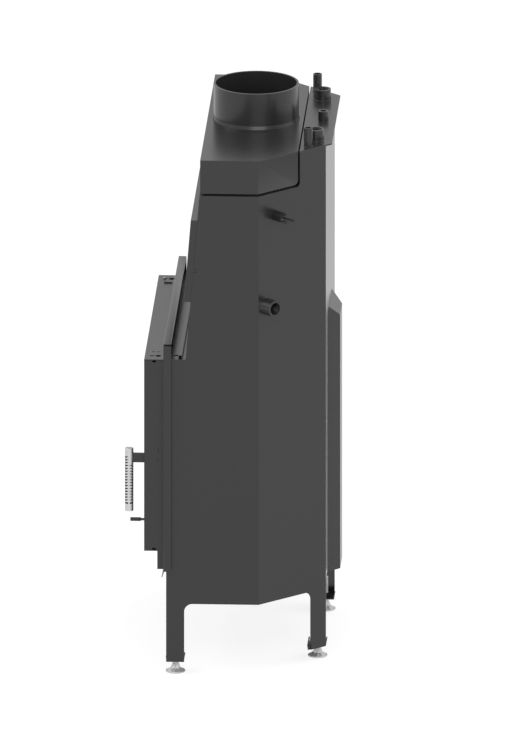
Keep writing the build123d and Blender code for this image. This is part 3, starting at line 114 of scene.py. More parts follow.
# %% Group: coated skin
coated_skin, skin_in, skin_out = effect_group(
    "coated_skin",
    [("Colour", COLOUR, (0.05, 0.05, 0.05, 1)), ("Drift", FLOAT, 0.06), ("Roughness", FLOAT, 0.4),
     ("Peel size", FLOAT, 420.0)],
    [("Colour", COLOUR), ("Roughness", FLOAT), ("Height", FLOAT)],
)
skin_place = add_node(coated_skin, "ShaderNodeTexCoord")
skin_drift = add_node(coated_skin, "ShaderNodeTexNoise", {"Scale": 5.0, "Detail": 3.0})
skin_peel = add_node(coated_skin, "ShaderNodeTexNoise", {"Detail": 2.0})
skin_range = add_node(coated_skin, "ShaderNodeMath", {1: 0.5}, operation="SUBTRACT")
skin_scale = add_node(coated_skin, "ShaderNodeMath", operation="MULTIPLY")
skin_gain = add_node(coated_skin, "ShaderNodeMath", {1: 1.0}, operation="ADD")
skin_colour = add_node(coated_skin, "ShaderNodeVectorMath", operation="SCALE")
skin_gloss = add_node(coated_skin, "ShaderNodeMath", operation="MULTIPLY_ADD")
for start, end in (
    (skin_place.outputs["Object"], skin_drift.inputs["Vector"]),
    (skin_place.outputs["Object"], skin_peel.inputs["Vector"]),
    (skin_in.outputs["Peel size"], skin_peel.inputs["Scale"]),
    (skin_drift.outputs["Fac"], skin_range.inputs[0]),
    (skin_range.outputs[0], skin_scale.inputs[0]),
    (skin_in.outputs["Drift"], skin_scale.inputs[1]),
    (skin_scale.outputs[0], skin_gain.inputs[0]),
    (skin_in.outputs["Colour"], skin_colour.inputs[0]),
    (skin_gain.outputs[0], skin_colour.inputs["Scale"]),
    (skin_scale.outputs[0], skin_gloss.inputs[0]),
    (skin_in.outputs["Roughness"], skin_gloss.inputs[1]),
    (skin_in.outputs["Roughness"], skin_gloss.inputs[2]),
    (skin_colour.outputs[0], skin_out.inputs["Colour"]),
    (skin_gloss.outputs[0], skin_out.inputs["Roughness"]),
    (skin_peel.outputs["Fac"], skin_out.inputs["Height"]),
):
    coated_skin.links.new(start, end)

# %% [markdown]
# Bricks, cast iron, pressed board and rolled plate are all grainy, only at different sizes. This group
# mixes two colours by a cloudy noise, sprinkles darker specks, and gives a height for the bump. Each
# material sets its own grain size.

# %% Group: mineral grain
mineral_grain, grain_in, grain_out = effect_group(
    "mineral_grain",
    [("Light", COLOUR, (0.6, 0.5, 0.4, 1)), ("Dark", COLOUR, (0.4, 0.3, 0.2, 1)),
     ("Grain size", FLOAT, 200.0), ("Cloud size", FLOAT, 12.0), ("Specks", FLOAT, 0.4)],
    [("Colour", COLOUR), ("Height", FLOAT)],
)
grain_place = add_node(mineral_grain, "ShaderNodeTexCoord")
grain_cloud = add_node(mineral_grain, "ShaderNodeTexNoise", {"Detail": 5.0, "Roughness": 0.6})
grain_fine = add_node(mineral_grain, "ShaderNodeTexNoise", {"Detail": 4.0, "Roughness": 0.7})
grain_mix = add_node(mineral_grain, "ShaderNodeMix", data_type="RGBA")
grain_step = add_node(mineral_grain, "ShaderNodeMapRange", {"From Min": 0.35, "From Max": 0.5})
grain_speck = add_node(mineral_grain, "ShaderNodeMath", {0: 1.0}, operation="SUBTRACT")
grain_dark = add_node(mineral_grain, "ShaderNodeMath", operation="MULTIPLY")
grain_keep = add_node(mineral_grain, "ShaderNodeMath", {0: 1.0}, operation="SUBTRACT")
grain_tone = add_node(mineral_grain, "ShaderNodeVectorMath", operation="SCALE")
for start, end in (
    (grain_place.outputs["Object"], grain_cloud.inputs["Vector"]),
    (grain_place.outputs["Object"], grain_fine.inputs["Vector"]),
    (grain_in.outputs["Cloud size"], grain_cloud.inputs["Scale"]),
    (grain_in.outputs["Grain size"], grain_fine.inputs["Scale"]),
    (grain_cloud.outputs["Fac"], grain_mix.inputs["Factor"]),
    (grain_in.outputs["Dark"], grain_mix.inputs["A"]),
    (grain_in.outputs["Light"], grain_mix.inputs["B"]),
    (grain_fine.outputs["Fac"], grain_step.inputs["Value"]),
    (grain_step.outputs["Result"], grain_speck.inputs[1]),
    (grain_speck.outputs[0], grain_dark.inputs[0]),
    (grain_in.outputs["Specks"], grain_dark.inputs[1]),
    (grain_dark.outputs[0], grain_keep.inputs[1]),
    (grain_mix.outputs["Result"], grain_tone.inputs[0]),
    (grain_keep.outputs[0], grain_tone.inputs["Scale"]),
    (grain_tone.outputs[0], grain_out.inputs["Colour"]),
    (grain_fine.outputs["Fac"], grain_out.inputs["Height"]),
):
    mineral_grain.links.new(start, end)

# %% [markdown]
# Bare metal shows how it was finished: a turned or polished tube has fine lines around or along it. The
# lines are a noise that is squeezed in one direction. The group gives a roughness that follows them and
# a faint height.

# %% Group: drawn lines
drawn_lines, lines_in, lines_out = effect_group(
    "drawn_lines",
    [("Line scale", "NodeSocketVector", (900.0, 900.0, 12.0)), ("Roughness", FLOAT, 0.2),
     ("Spread", FLOAT, 0.5)],
    [("Roughness", FLOAT), ("Height", FLOAT)],
)
lines_place = add_node(drawn_lines, "ShaderNodeTexCoord")
lines_stretch = add_node(drawn_lines, "ShaderNodeVectorMath", operation="MULTIPLY")
lines_noise = add_node(drawn_lines, "ShaderNodeTexNoise", {"Scale": 1.0, "Detail": 3.0})
lines_scale = add_node(drawn_lines, "ShaderNodeMath", operation="MULTIPLY")
lines_gain = add_node(drawn_lines, "ShaderNodeMath", {1: 0.75}, operation="ADD")
lines_rough = add_node(drawn_lines, "ShaderNodeMath", operation="MULTIPLY")
for start, end in (
    (lines_place.outputs["Object"], lines_stretch.inputs[0]),
    (lines_in.outputs["Line scale"], lines_stretch.inputs[1]),
    (lines_stretch.outputs[0], lines_noise.inputs["Vector"]),
    (lines_noise.outputs["Fac"], lines_scale.inputs[0]),
    (lines_in.outputs["Spread"], lines_scale.inputs[1]),
    (lines_scale.outputs[0], lines_gain.inputs[0]),
    (lines_gain.outputs[0], lines_rough.inputs[0]),
    (lines_in.outputs["Roughness"], lines_rough.inputs[1]),
    (lines_rough.outputs[0], lines_out.inputs["Roughness"]),
    (lines_noise.outputs["Fac"], lines_out.inputs["Height"]),
):
    drawn_lines.links.new(start, end)

# %% [markdown]
# Every finish is a Principled material that places one of the groups and feeds its colour, roughness and
# bump. Three helpers do the wiring: one makes the material, one places a group in it, and one adds the
# bump.

# %% Helpers that wire a material
def new_finish(name, **sockets):
    """A material with a Principled shader, and plain values on its own sockets."""
    finish = bpy.data.materials.new(name)
    finish.use_nodes = True
    shader = finish.node_tree.nodes["Principled BSDF"]
    for label, value in sockets.items():
        shader.inputs[label.replace("_", " ")].default_value = value
    print("finish:", name)
    return finish, finish.node_tree, shader


def place_group(tree, group, **values):
    """The group as a node, with this material's own values."""
    node = tree.nodes.new("ShaderNodeGroup")
    node.node_tree = group
    for label, value in values.items():
        node.inputs[label.replace("_", " ")].default_value = value
    return node


def add_bump(tree, shader, height, distance, strength=1.0):
    """A bump of this depth in metres that feeds the shader's normal."""
    bump = add_node(tree, "ShaderNodeBump", {"Distance": distance, "Strength": strength})
    tree.links.new(height, bump.inputs["Height"])
    tree.links.new(bump.outputs["Normal"], shader.inputs["Normal"])


# %% [markdown]
# With these, each group gets a function of its own that makes a finish in one call: a coated sheet, a
# grainy body, or bare metal with fine lines. What is left to choose is the colour and a few sizes.

# %% Three kinds of finish
def coated_finish(name, colour, roughness, drift=0.06, peel=420.0, depth=0.00004):
    """A powder coated sheet."""
    finish, tree, shader = new_finish(name)
    skin = place_group(tree, coated_skin, Colour=colour, Drift=drift, Roughness=roughness, Peel_size=peel)
    tree.links.new(skin.outputs["Colour"], shader.inputs["Base Color"])
    tree.links.new(skin.outputs["Roughness"], shader.inputs["Roughness"])
    add_bump(tree, shader, skin.outputs["Height"], depth)
    return finish


def grainy_finish(name, light, dark, grain, cloud, specks, roughness, depth):
    """Brick, iron, board or plate."""
    finish, tree, shader = new_finish(name, Roughness=roughness)
    coat = place_group(
        tree, mineral_grain, Light=light, Dark=dark, Grain_size=grain, Cloud_size=cloud, Specks=specks
    )
    tree.links.new(coat.outputs["Colour"], shader.inputs["Base Color"])
    add_bump(tree, shader, coat.outputs["Height"], depth)
    return finish


def metal_finish(name, colour, roughness, line_scale, spread=0.5, depth=0.00001):
    """Bare or plated metal with fine lines."""
    finish, tree, shader = new_finish(name, Base_Color=colour, Metallic=1.0)
    lines = place_group(tree, drawn_lines, Line_scale=line_scale, Roughness=roughness, Spread=spread)
    tree.links.new(lines.outputs["Roughness"], shader.inputs["Roughness"])
    add_bump(tree, shader, lines.outputs["Height"], depth)
    return finish


# %% [markdown]
# The outside is one dark grey coating. Seen straight on it is nearly black, and seen at a flat angle it
# turns light, because the skin reflects the white room. That is why the top looks lighter than the side
# and the back almost white: the colour is the same, and the shader's reflection does the rest.

# %% Outside finishes
outer_coat = coated_finish("outer_coat", shown(39, 39, 40), 0.27)
grip_coat = coated_finish("grip_coat", shown(60, 60, 61), 0.45, depth=0.00008)
polished_steel = metal_finish("polished_steel", shown(190, 190, 192), 0.16, (700.0, 700.0, 20.0))
foot_steel = metal_finish("foot_steel", shown(208, 208, 209), 0.62, (500.0, 500.0, 60.0))
zinc_sheet = metal_finish("zinc_sheet", shown(168, 170, 174), 0.38, (60.0, 700.0, 60.0), 0.6)

# %% [markdown]
# The screws of the feet turn in their nuts with a tenth of a millimetre to spare, so their ridges can
# only be low. So the grooves between them get painted shade, and that is what the eye reads as a thread:
# a wave of the same pitch paints dark bands of shade on the steel and deepens the bump. A wave texture
# that runs along Z repeats every pi / 10 at a scale of one, so the scale is that length divided by the
# pitch.

# %% Steel of the foot screws
FOOT_PITCH = 0.00175
thread_steel, thread_tree, thread_shader = new_finish("thread_steel", Metallic=1.0, Roughness=0.5)
thread_place = add_node(thread_tree, "ShaderNodeTexCoord")
groove = add_node(
    thread_tree, "ShaderNodeTexWave", {"Scale": math.pi / (10 * FOOT_PITCH)}, bands_direction="Z"
)
# Painted shade: the wave paints the grooves of the thread dark.
groove_painted_shade = add_node(
    thread_tree, "ShaderNodeMix", {"A": shown(92, 91, 88), "B": shown(214, 214, 215)}, data_type="RGBA"
)
thread_tree.links.new(thread_place.outputs["Object"], groove.inputs["Vector"])
thread_tree.links.new(groove.outputs["Fac"], groove_painted_shade.inputs["Factor"])
thread_tree.links.new(groove_painted_shade.outputs["Result"], thread_shader.inputs["Base Color"])
add_bump(thread_tree, thread_shader, groove.outputs["Fac"], 0.0005)
print("pitch of the foot screws:", FOOT_PITCH)

# %% [markdown]
# The grip of the handle is a brushed tube with slots that let it cool. Inside, where the tube was never
# brushed, it is dull, and the shade that falls in through the slots is painted dark. Two finishes on one
# mesh would need its faces sorted, so the material asks instead how far a point is from the tube's axis:
# outside it is bright, and further in it is dull with painted shade. The two ends are bright again,
# because they are closed by brushed caps.

# %% Steel of the slotted grip
handle_steel, handle_tree, handle_shader = new_finish("handle_steel", Metallic=1.0)
tube_low, tube_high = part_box("handle_tube")
tube_axis = ((tube_low.x + tube_high.x) / 2, (tube_low.y + tube_high.y) / 2, 0.0)
bright_skin = 0.0005
bright_cap = 0.0015
tube_skin = (tube_high.x - tube_low.x) / 2 - bright_skin
tube_middle = (tube_low.z + tube_high.z) / 2
tube_half = (tube_high.z - tube_low.z) / 2 - bright_cap
tube_place = add_node(handle_tree, "ShaderNodeTexCoord")
tube_offset = add_node(handle_tree, "ShaderNodeVectorMath", {1: tube_axis}, operation="SUBTRACT")
tube_level = add_node(handle_tree, "ShaderNodeVectorMath", {1: (1.0, 1.0, 0.0)}, operation="MULTIPLY")
tube_reach = add_node(handle_tree, "ShaderNodeVectorMath", operation="LENGTH")
tube_beyond = add_node(handle_tree, "ShaderNodeMath", {1: tube_skin}, operation="GREATER_THAN")
tube_parts = add_node(handle_tree, "ShaderNodeSeparateXYZ")
tube_drop = add_node(handle_tree, "ShaderNodeMath", {1: tube_middle}, operation="SUBTRACT")
tube_far = add_node(handle_tree, "ShaderNodeMath", operation="ABSOLUTE")
tube_cap = add_node(handle_tree, "ShaderNodeMath", {1: tube_half}, operation="GREATER_THAN")
tube_outside = add_node(handle_tree, "ShaderNodeMath", operation="MAXIMUM")
# Painted shade: inside the tube the steel is painted dark, as the shade in the slots.
tube_shade_tone = add_node(
    handle_tree, "ShaderNodeMix", {"A": shown(30, 29, 28), "B": shown(203, 203, 205)}, data_type="RGBA"
)
tube_lines = place_group(handle_tree, drawn_lines, Line_scale=(700.0, 700.0, 20.0), Roughness=0.45)
tube_gloss = add_node(handle_tree, "ShaderNodeMix", {"A": 0.8}, data_type="FLOAT")
for start, end in (
    (tube_place.outputs["Object"], tube_offset.inputs[0]),
    (tube_offset.outputs[0], tube_level.inputs[0]),
    (tube_level.outputs[0], tube_reach.inputs[0]),
    (tube_reach.outputs["Value"], tube_beyond.inputs[0]),
    (tube_place.outputs["Object"], tube_parts.inputs[0]),
    (tube_parts.outputs["Z"], tube_drop.inputs[0]),
    (tube_drop.outputs[0], tube_far.inputs[0]),
    (tube_far.outputs[0], tube_cap.inputs[0]),
    (tube_beyond.outputs[0], tube_outside.inputs[0]),
    (tube_cap.outputs[0], tube_outside.inputs[1]),
    (tube_outside.outputs[0], tube_shade_tone.inputs["Factor"]),
    (tube_outside.outputs[0], tube_gloss.inputs["Factor"]),
    (tube_lines.outputs["Roughness"], tube_gloss.inputs["B"]),
    (tube_shade_tone.outputs["Result"], handle_shader.inputs["Base Color"]),
    (tube_gloss.outputs["Result"], handle_shader.inputs["Roughness"]),
):
    handle_tree.links.new(start, end)
add_bump(handle_tree, handle_shader, tube_lines.outputs["Height"], 0.00001)
print("grip radius:", round(tube_skin + bright_skin, 4))

# %% [markdown]
# Inside, the plates only carry a dark primer, the hearth is lined with pale bricks, the grate is cast,
# and the baffle is pressed from flakes that glitter a little.

# %% Inside finishes
boiler_plate = grainy_finish(
    "boiler_plate", shown(66, 64, 62), shown(44, 43, 42), 300.0, 8.0, 0.15, 0.62, 0.00008
)
fire_brick = grainy_finish(
    "fire_brick", shown(214, 198, 164), shown(188, 168, 132), 420.0, 9.0, 0.35, 0.92, 0.0004
)
flake_board = grainy_finish(
    "flake_board", shown(200, 172, 120), shown(150, 118, 72), 260.0, 60.0, 0.5, 0.85, 0.0005
)
cast_grate = grainy_finish(
    "cast_grate", shown(58, 57, 56), shown(36, 36, 36), 500.0, 14.0, 0.3, 0.6, 0.0003
)
fibre_board = grainy_finish(
    "fibre_board", shown(216, 208, 184), shown(190, 180, 150), 700.0, 20.0, 0.2, 0.95, 0.0002
)

# %% [markdown]
# The seals are braided glass rope. Its strands cross at a slant, so two wave textures that run in
# opposite directions are multiplied: the bumps stand where both are high. The waves are in the
# material itself, because only the ropes use them. The rope under the smoke hood gets a dark copy as
# painted shade, so its seam reads as a black line of shade.

# %% Rope finish
braided_rope, rope_tree, rope_shader = new_finish(
    "braided_rope", Base_Color=shown(188, 184, 172), Roughness=0.9, Sheen_Weight=0.2
)
rope_place = add_node(rope_tree, "ShaderNodeTexCoord")
strand_heights = []
for turn in (0.7, -0.7):
    rope_turn = add_node(
        rope_tree, "ShaderNodeMapping", {"Rotation": (turn, turn, turn), "Scale": (95.0, 95.0, 95.0)}
    )
    strand = add_node(rope_tree, "ShaderNodeTexWave", {"Scale": 1.0, "Distortion": 0.6, "Detail": 1.0})
    rope_tree.links.new(rope_place.outputs["Object"], rope_turn.inputs["Vector"])
    rope_tree.links.new(rope_turn.outputs["Vector"], strand.inputs["Vector"])
    strand_heights.append(strand.outputs["Fac"])
strand_cross = add_node(rope_tree, "ShaderNodeMath", operation="MULTIPLY")
rope_tree.links.new(strand_heights[0], strand_cross.inputs[0])
rope_tree.links.new(strand_heights[1], strand_cross.inputs[1])
add_bump(rope_tree, rope_shader, strand_cross.outputs[0], 0.0008)
# Painted shade: a dark copy of the rope for the hood seam, so the seam shows as a black line of shade.
seam_shade_rope = braided_rope.copy()
seam_shade_rope.name = "seam_shade_rope"
seam_shade_rope.node_tree.nodes[rope_shader.name].inputs["Base Color"].default_value = shown(38, 38, 38)

# %% [markdown]
# The pane is clear ceramic glass. A plain Principled shader with full transmission is enough, because
# the pane has a real thickness. Heat and wiping leave faint cloudy smears, which only show in the gloss,
# so a soft noise moves the roughness a little. Round its rim runs a dark printed border that hides the
# seal, made further down as a piece of its own.

# %% Glass and enamel
ceramic_glass, glass_tree, glass_shader = new_finish(
    "ceramic_glass", Base_Color=shown(228, 226, 222), IOR=1.5, Transmission_Weight=1.0
)
smear_place = add_node(glass_tree, "ShaderNodeTexCoord")
smear_cloud = add_node(glass_tree, "ShaderNodeTexNoise", {"Scale": 9.0, "Detail": 4.0, "Distortion": 0.8})
smear_gloss = add_node(
    glass_tree, "ShaderNodeMapRange", {"From Min": 0.4, "From Max": 0.75, "To Min": 0.02, "To Max": 0.07}
)
glass_tree.links.new(smear_place.outputs["Object"], smear_cloud.inputs["Vector"])
glass_tree.links.new(smear_cloud.outputs["Fac"], smear_gloss.inputs["Value"])
glass_tree.links.new(smear_gloss.outputs["Result"], glass_shader.inputs["Roughness"])
enamel_print = coated_finish("enamel_print", shown(22, 22, 22), 0.25, drift=0.02, depth=0.00001)

# %% [markdown]
# A table says which finish each imported piece gets. A piece that is missing from the table would keep the
# plain colour it was imported with, so the cell ends with a count.

# %% Give every imported piece its finish
finish_table = {
    outer_coat: (
        "air_apron back_panel body_front_plate collar_ring door_casing door_frame door_seat_frame "
        "facing_frame flue_collar foot_brackets heat_shield hood_shell hood_top_plate jacket_floor "
        "ledge_channel ledge_plate left_side_panel rear_air_duct right_side_panel sensor_sockets "
        "tank_riser tank_top_plate water_sockets front_wall handle_bracket sensor_probe sensor_clip "
        "cooling_coil hinge_clip keeper_screws"
    ),
    boiler_plate: (
        "air_nozzles baffle_pegs firebox_shell hearth_plate lower_tube_plate smoke_tubes upper_tube_plate"
    ),
    zinc_sheet: "air_shutter ash_pan glass_clips latch_keeper shutter_guides",
    polished_steel: "keeper_roller door_pins",
    foot_steel: "foot_front_right foot_front_left foot_rear_right foot_rear_left",
    handle_steel: "handle_tube",
    grip_coat: "lever_grip",
    fire_brick: "back_bricks hearth_bricks side_bricks",
    flake_board: "flame_baffle",
    cast_grate: "grate",
    braided_rope: "door_gasket glass_tape",
    seam_shade_rope: "hood_gasket",
    fibre_board: "insulation_board",
    ceramic_glass: "door_glass",
}


def paint(piece, finish):
    """Gives the piece this finish alone."""
    piece.data.materials.clear()
    piece.data.materials.append(finish)


painted = 0
for finish, names in finish_table.items():
    for name in names.split():
        paint(insert_nodes[name], finish)
        painted += 1
print("painted", painted, "of", len(insert_nodes))

# %% [markdown]
# A folded or cut sheet never has a razor edge. A narrow bevel catches the light as a thin line and costs
# little. It is a modifier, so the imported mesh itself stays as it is. Two more run before it: a weld joins
# the faces, because the file brings each face with its own corners, and a planar decimate melts the thin
# triangles of a flat sheet into one face, because a bevel at a screw hole would fold them over.

# %% Soften the edges of the sheets
def soften(name, width, segments=2, angle=35):
    """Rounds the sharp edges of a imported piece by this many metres."""
    piece = insert_nodes[name]
    weld = piece.modifiers.new("join_faces", "WELD")
    weld.merge_threshold = 0.00001
    flat = piece.modifiers.new("melt_flats", "DECIMATE")
    flat.decimate_type = "DISSOLVE"
    flat.angle_limit = math.radians(0.3)
    bevel = piece.modifiers.new("soft_edge", "BEVEL")
    bevel.width = width
    bevel.segments = segments
    bevel.limit_method = "ANGLE"
    bevel.angle_limit = math.radians(angle)
    bevel.harden_normals = True
    bevel.use_clamp_overlap = True


soft_edges = {
    0.0005: "facing_frame door_casing air_apron heat_shield hood_shell rear_air_duct door_frame",
    0.0008: "right_side_panel left_side_panel tank_top_plate ledge_plate handle_bracket",
    0.0015: "grate flame_baffle",
    0.0025: "door_gasket",
}
for width, names in soft_edges.items():
    for name in names.split():
        soften(name, width)
print("softened:", sum(len(names.split()) for names in soft_edges.values()))

# %% [markdown]
# New pieces are written straight as vertices and faces. The helper turns a list of them into an object,
# gives it its finish and lets it ride on the body that carries it.

# %% Helper that adds a piece
def add_piece(name, points, faces, finish, body, smooth=True):
    """A mesh piece from points in metres and faces, riding on a body."""
    mesh = bpy.data.meshes.new(name)
    mesh.from_pydata([tuple(point) for point in points], [], faces)
    mesh.validate()
    shape = bmesh.new()
    shape.from_mesh(mesh)
    bmesh.ops.recalc_face_normals(shape, faces=shape.faces)
    shape.to_mesh(mesh)
    shape.free()
    for face in mesh.polygons:
        face.use_smooth = smooth
    piece = bpy.data.objects.new(name, mesh)
    bpy.context.scene.collection.objects.link(piece)
    mesh.materials.append(finish)
    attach(piece, body)
    return piece


# %% [markdown]
# Pipe threads. A thread is one ridge that winds round a pipe. It could be a screw modifier, but writing
# the ridge as a strip of three points that turns and climbs keeps its exact pitch. An inner thread points
# to the axis and an outer one away from it. Its root is sunk a little into the pipe, so that no slit
# shows between the two.

# %% Helper that winds a thread
ROOT_SINK = 0.00002


def thread(name, foot, axis, radius, length, pitch, depth, finish, body, steps=24):
    """A ridge round the axis from the foot point on. A negative depth points to the axis."""
    axis = Vector(axis).normalized()
    across = axis.orthogonal().normalized()
    beside = axis.cross(across)
    turns = length / pitch - 1.0
    count = int(turns * steps)
    points = []
    faces = []
    for index in range(count + 1):
        angle = 2 * math.pi * index / steps
        fade = min(1.0, 2 * index / steps, 2 * (count - index) / steps)
        outward = across * math.cos(angle) + beside * math.sin(angle)
        climb = pitch * index / steps
        low = Vector(foot) + axis * climb + outward * (radius - math.copysign(ROOT_SINK, depth))
        tip = Vector(foot) + axis * (climb + pitch / 2) + outward * (radius + depth * fade)
        high = low + axis * pitch
        points += [low, tip, high]
        if index:
            a = 3 * (index - 1)
            b = 3 * index
            faces += [(a, b, b + 1, a + 1), (a + 1, b + 1, b + 2, a + 2)]
    return add_piece(name, points, faces, finish, body)


# %% [markdown]
# Six connections take a pipe: the flow sockets and the ends of the cooling coil on the tank, and the
# return sockets on the slanted sides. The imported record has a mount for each, with the middle of the
# length that the pipe covers, its axis, its radius and that length.

# %% Places of the water connections
UP = Vector((0, 0, 1))
MILLIMETRE = 0.001
SIDES = ("right", "left")
mounts = {mount["name"]: mount for mount in frame["record"]["mounts"]}


def connection(name):
    """Where the mount of this name starts, its axis and its radius."""
    mount = mounts[name]
    axis = Vector(mount["axis"])
    half_length = MILLIMETRE * mount["dims"]["length_mm"] / 2
    start = Vector(mount["pos_m"]) - axis * half_length
    return start, axis, MILLIMETRE * mount["dims"]["r_mm"]


print("left return socket starts at", [round(value, 4) for value in connection("return_left")[0]])

# %% [markdown]
# Now the threads are wound. The 1 inch sockets have a pitch of 2.309 mm and a groove 1.2 mm deep, and
# the half inch ends of the coil a pitch of 1.814 mm. The screws of the feet get a thread too: it starts
# just above the nut, and it rides on the foot, so that it goes down with it.

# %% Threads on sockets, coil ends and feet
INCH_PITCH = 0.002309
INCH_DEPTH = -0.0012
HALF_INCH_PITCH = 0.001814
HALF_INCH_DEPTH = 0.0003
FOOT_SCREW_RADIUS = 0.005935
FOOT_RIDGE = 0.00001
BARE_START = 0.0005
for side in SIDES:
    for kind, mount, bare, length, pitch, depth in (
        ("flow", "flow", BARE_START, 0.025, INCH_PITCH, INCH_DEPTH),
        ("return", "return", 0.0, 0.036, INCH_PITCH, INCH_DEPTH),
        ("coil", "coil_end", BARE_START, 0.034, HALF_INCH_PITCH, HALF_INCH_DEPTH),
    ):
        start, axis, radius = connection(f"{mount}_{side}")
        thread(
            f"{kind}_thread_{side}", start + axis * bare, axis, radius, length, pitch, depth,
            outer_coat, "insert",
        )
thread_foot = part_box("foot_brackets")[1].z + BARE_START
for place in ("front_right", "front_left", "rear_right", "rear_left"):
    foot_low, foot_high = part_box(f"foot_{place}")
    foot_middle = (foot_low + foot_high) / 2
    thread(
        f"foot_thread_{place}", (foot_middle.x, foot_middle.y, thread_foot), UP, FOOT_SCREW_RADIUS,
        0.040, FOOT_PITCH, FOOT_RIDGE, thread_steel, f"{place}_foot", steps=48,
    )

# %% [markdown]
# The hearth is built of single bricks with thin joints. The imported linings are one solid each, so each
# one is replaced: a copy is cut by upright and level planes into bricks, each brick is drawn in by half
# a joint, and its edges are rounded. Cutting the copy keeps the outer form exactly where it was.

# %% Helpers that cut a lining into bricks
def cut_slab(shape, point, normal):
    """Keeps what lies behind the plane and closes the cut."""
    everything = list(shape.verts) + list(shape.edges) + list(shape.faces)
    made = bmesh.ops.bisect_plane(
        shape, geom=everything, plane_co=point, plane_no=normal, clear_outer=True, dist=1e-7
    )
    rim = [edge for edge in made["geom_cut"] if isinstance(edge, bmesh.types.BMEdge)]
    if rim:
        bmesh.ops.edgeloop_fill(shape, edges=rim)


def brick_cells(name, cells, joint=0.0007, rounding=0.0012):
    """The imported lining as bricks. Each cell is a list of planes, given by a point and a normal."""
    lining = insert_nodes[name]
    wall = bmesh.new()
    for planes in cells:
        brick = bmesh.new()
        brick.from_mesh(lining.data)
        bmesh.ops.remove_doubles(brick, verts=brick.verts, dist=1e-6)
        for point, normal in planes:
            normal = Vector(normal).normalized()
            cut_slab(brick, Vector(point) - normal * joint, normal)
        if not brick.faces:
            brick.free()
            continue
        flat = [e for e in brick.edges if len(e.link_faces) == 2 and e.calc_face_angle() < 0.01]
        bmesh.ops.dissolve_edges(brick, edges=flat, use_verts=True)
        sharp = [e for e in brick.edges if len(e.link_faces) == 2 and e.calc_face_angle() > 0.5]
        bmesh.ops.bevel(brick, geom=sharp, offset=rounding, segments=1, affect="EDGES", clamp_overlap=True)
        part = bpy.data.meshes.new("brick")
        brick.to_mesh(part)
        brick.free()
        wall.from_mesh(part)
        bpy.data.meshes.remove(part)
    mesh = bpy.data.meshes.new(name + "_laid")
    wall.to_mesh(mesh)
    wall.free()
    laid = bpy.data.objects.new(name + "_laid", mesh)
    bpy.context.scene.collection.objects.link(laid)
    mesh.materials.append(fire_brick)
    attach(laid, "insert")
    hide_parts(name)
    print(name, "bricks:", len(cells), "faces:", len(mesh.polygons))


def course_planes(low, high, axis):
    """Two planes that keep the part between two places along an axis."""
    toward = Vector((0, 0, 0))
    toward[axis] = 1
    return [(toward * high, toward), (toward * low, -toward)]


# %% [markdown]
# The walls have three courses. The bricks of one course stand over the joints of the course below, so
# every second course is shifted by half a brick. The outermost planes lie well beyond the lining, so
# that the last brick of a course keeps its own end.

# %% Lay the walls
BEYOND = 0.5
BRICK_LENGTH = 0.132
brick_low, brick_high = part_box("back_bricks")
courses = [brick_low.z + (brick_high.z - brick_low.z) * step / 3 for step in range(4)]
back_cells = []
for row in range(3):
    shift = 0.0 if row % 2 else BRICK_LENGTH / 2
    joints = [-BEYOND, shift - BRICK_LENGTH, shift, shift + BRICK_LENGTH, BEYOND]
    for start, stop in zip(joints, joints[1:]):
        back_cells.append(
            course_planes(courses[row], courses[row + 1], 2) + course_planes(start, stop, 0)
        )
brick_cells("back_bricks", back_cells)

side_cells = []
for row in range(3):
    joints = [-BEYOND, -0.06 if row % 2 else -0.02, 0.0466, BEYOND]
    for side in ((-BEYOND, 0.0), (0.0, BEYOND)):
        for start, stop in zip(joints, joints[1:]):
            side_cells.append(
                course_planes(courses[row], courses[row + 1], 2)
                + course_planes(start, stop, 1) + course_planes(*side, 0)
            )
brick_cells("side_bricks", side_cells)

# %% [markdown]
# The hearth is eight bricks round the grate: the joints run along the four sides of the grate, and the
# middle one of the nine cells is the hole.

# %% Lay the hearth
grate_low, grate_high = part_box("grate")
grate_gap = 0.001
hearth_joints_x = [-BEYOND, grate_low.x - grate_gap, grate_high.x + grate_gap, BEYOND]
hearth_joints_y = [-BEYOND, grate_low.y - grate_gap, grate_high.y + grate_gap, BEYOND]
hearth_cells = []
for column in range(3):
    for row in range(3):
        if (column, row) != (1, 1):
            hearth_cells.append(
                course_planes(hearth_joints_x[column], hearth_joints_x[column + 1], 0)
                + course_planes(hearth_joints_y[row], hearth_joints_y[row + 1], 1)
            )
brick_cells("hearth_bricks", hearth_cells)

# %% [markdown]
# The printed border of the pane is a flat frame, a twentieth of a millimetre thick, on the front of the
# glass just inside the door frame's window. It hides the seal and the clips behind it.

# %% Printed border on the glass
frame_low, frame_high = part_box("door_frame")
glass_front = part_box("door_glass")[0].y
window = (0.325, 0.198)
window_middle = (frame_low.z + frame_high.z) / 2
border = 0.012
print_front = glass_front - 0.00006
print_back = glass_front - 0.00001


def rim_frame(name, outer, inner, front, back, middle, finish, body):
    """A flat rectangular frame between two depths."""
    points = []
    for depth in (front, back):
        for half in (outer, inner):
            for x_sign, z_sign in ((-1, -1), (1, -1), (1, 1), (-1, 1)):
                points.append((x_sign * half[0], depth, middle + z_sign * half[1]))
    faces = []
    for k in range(4):
        n = (k + 1) % 4
        faces += [(k, n, 4 + n, 4 + k), (8 + k, 8 + n, 12 + n, 12 + k)]
        faces += [(k, n, 8 + n, 8 + k), (4 + k, 4 + n, 12 + n, 12 + k)]
    return add_piece(name, points, faces, finish, body, smooth=False)


rim_frame(
    "glass_border_print", window, (window[0] - border, window[1] - border), print_front, print_back,
    window_middle, enamel_print, "door",
)
print("glass front at", round(glass_front, 5))

# %% [markdown]
# Tubes and sockets are welded to their plates. A small ring stands for each bead: one under each smoke
# tube, where a hand that cleans the firebox would feel it, and one round the foot of every socket. A
# torus would be too even, so the radius wobbles a little from ripple to ripple.

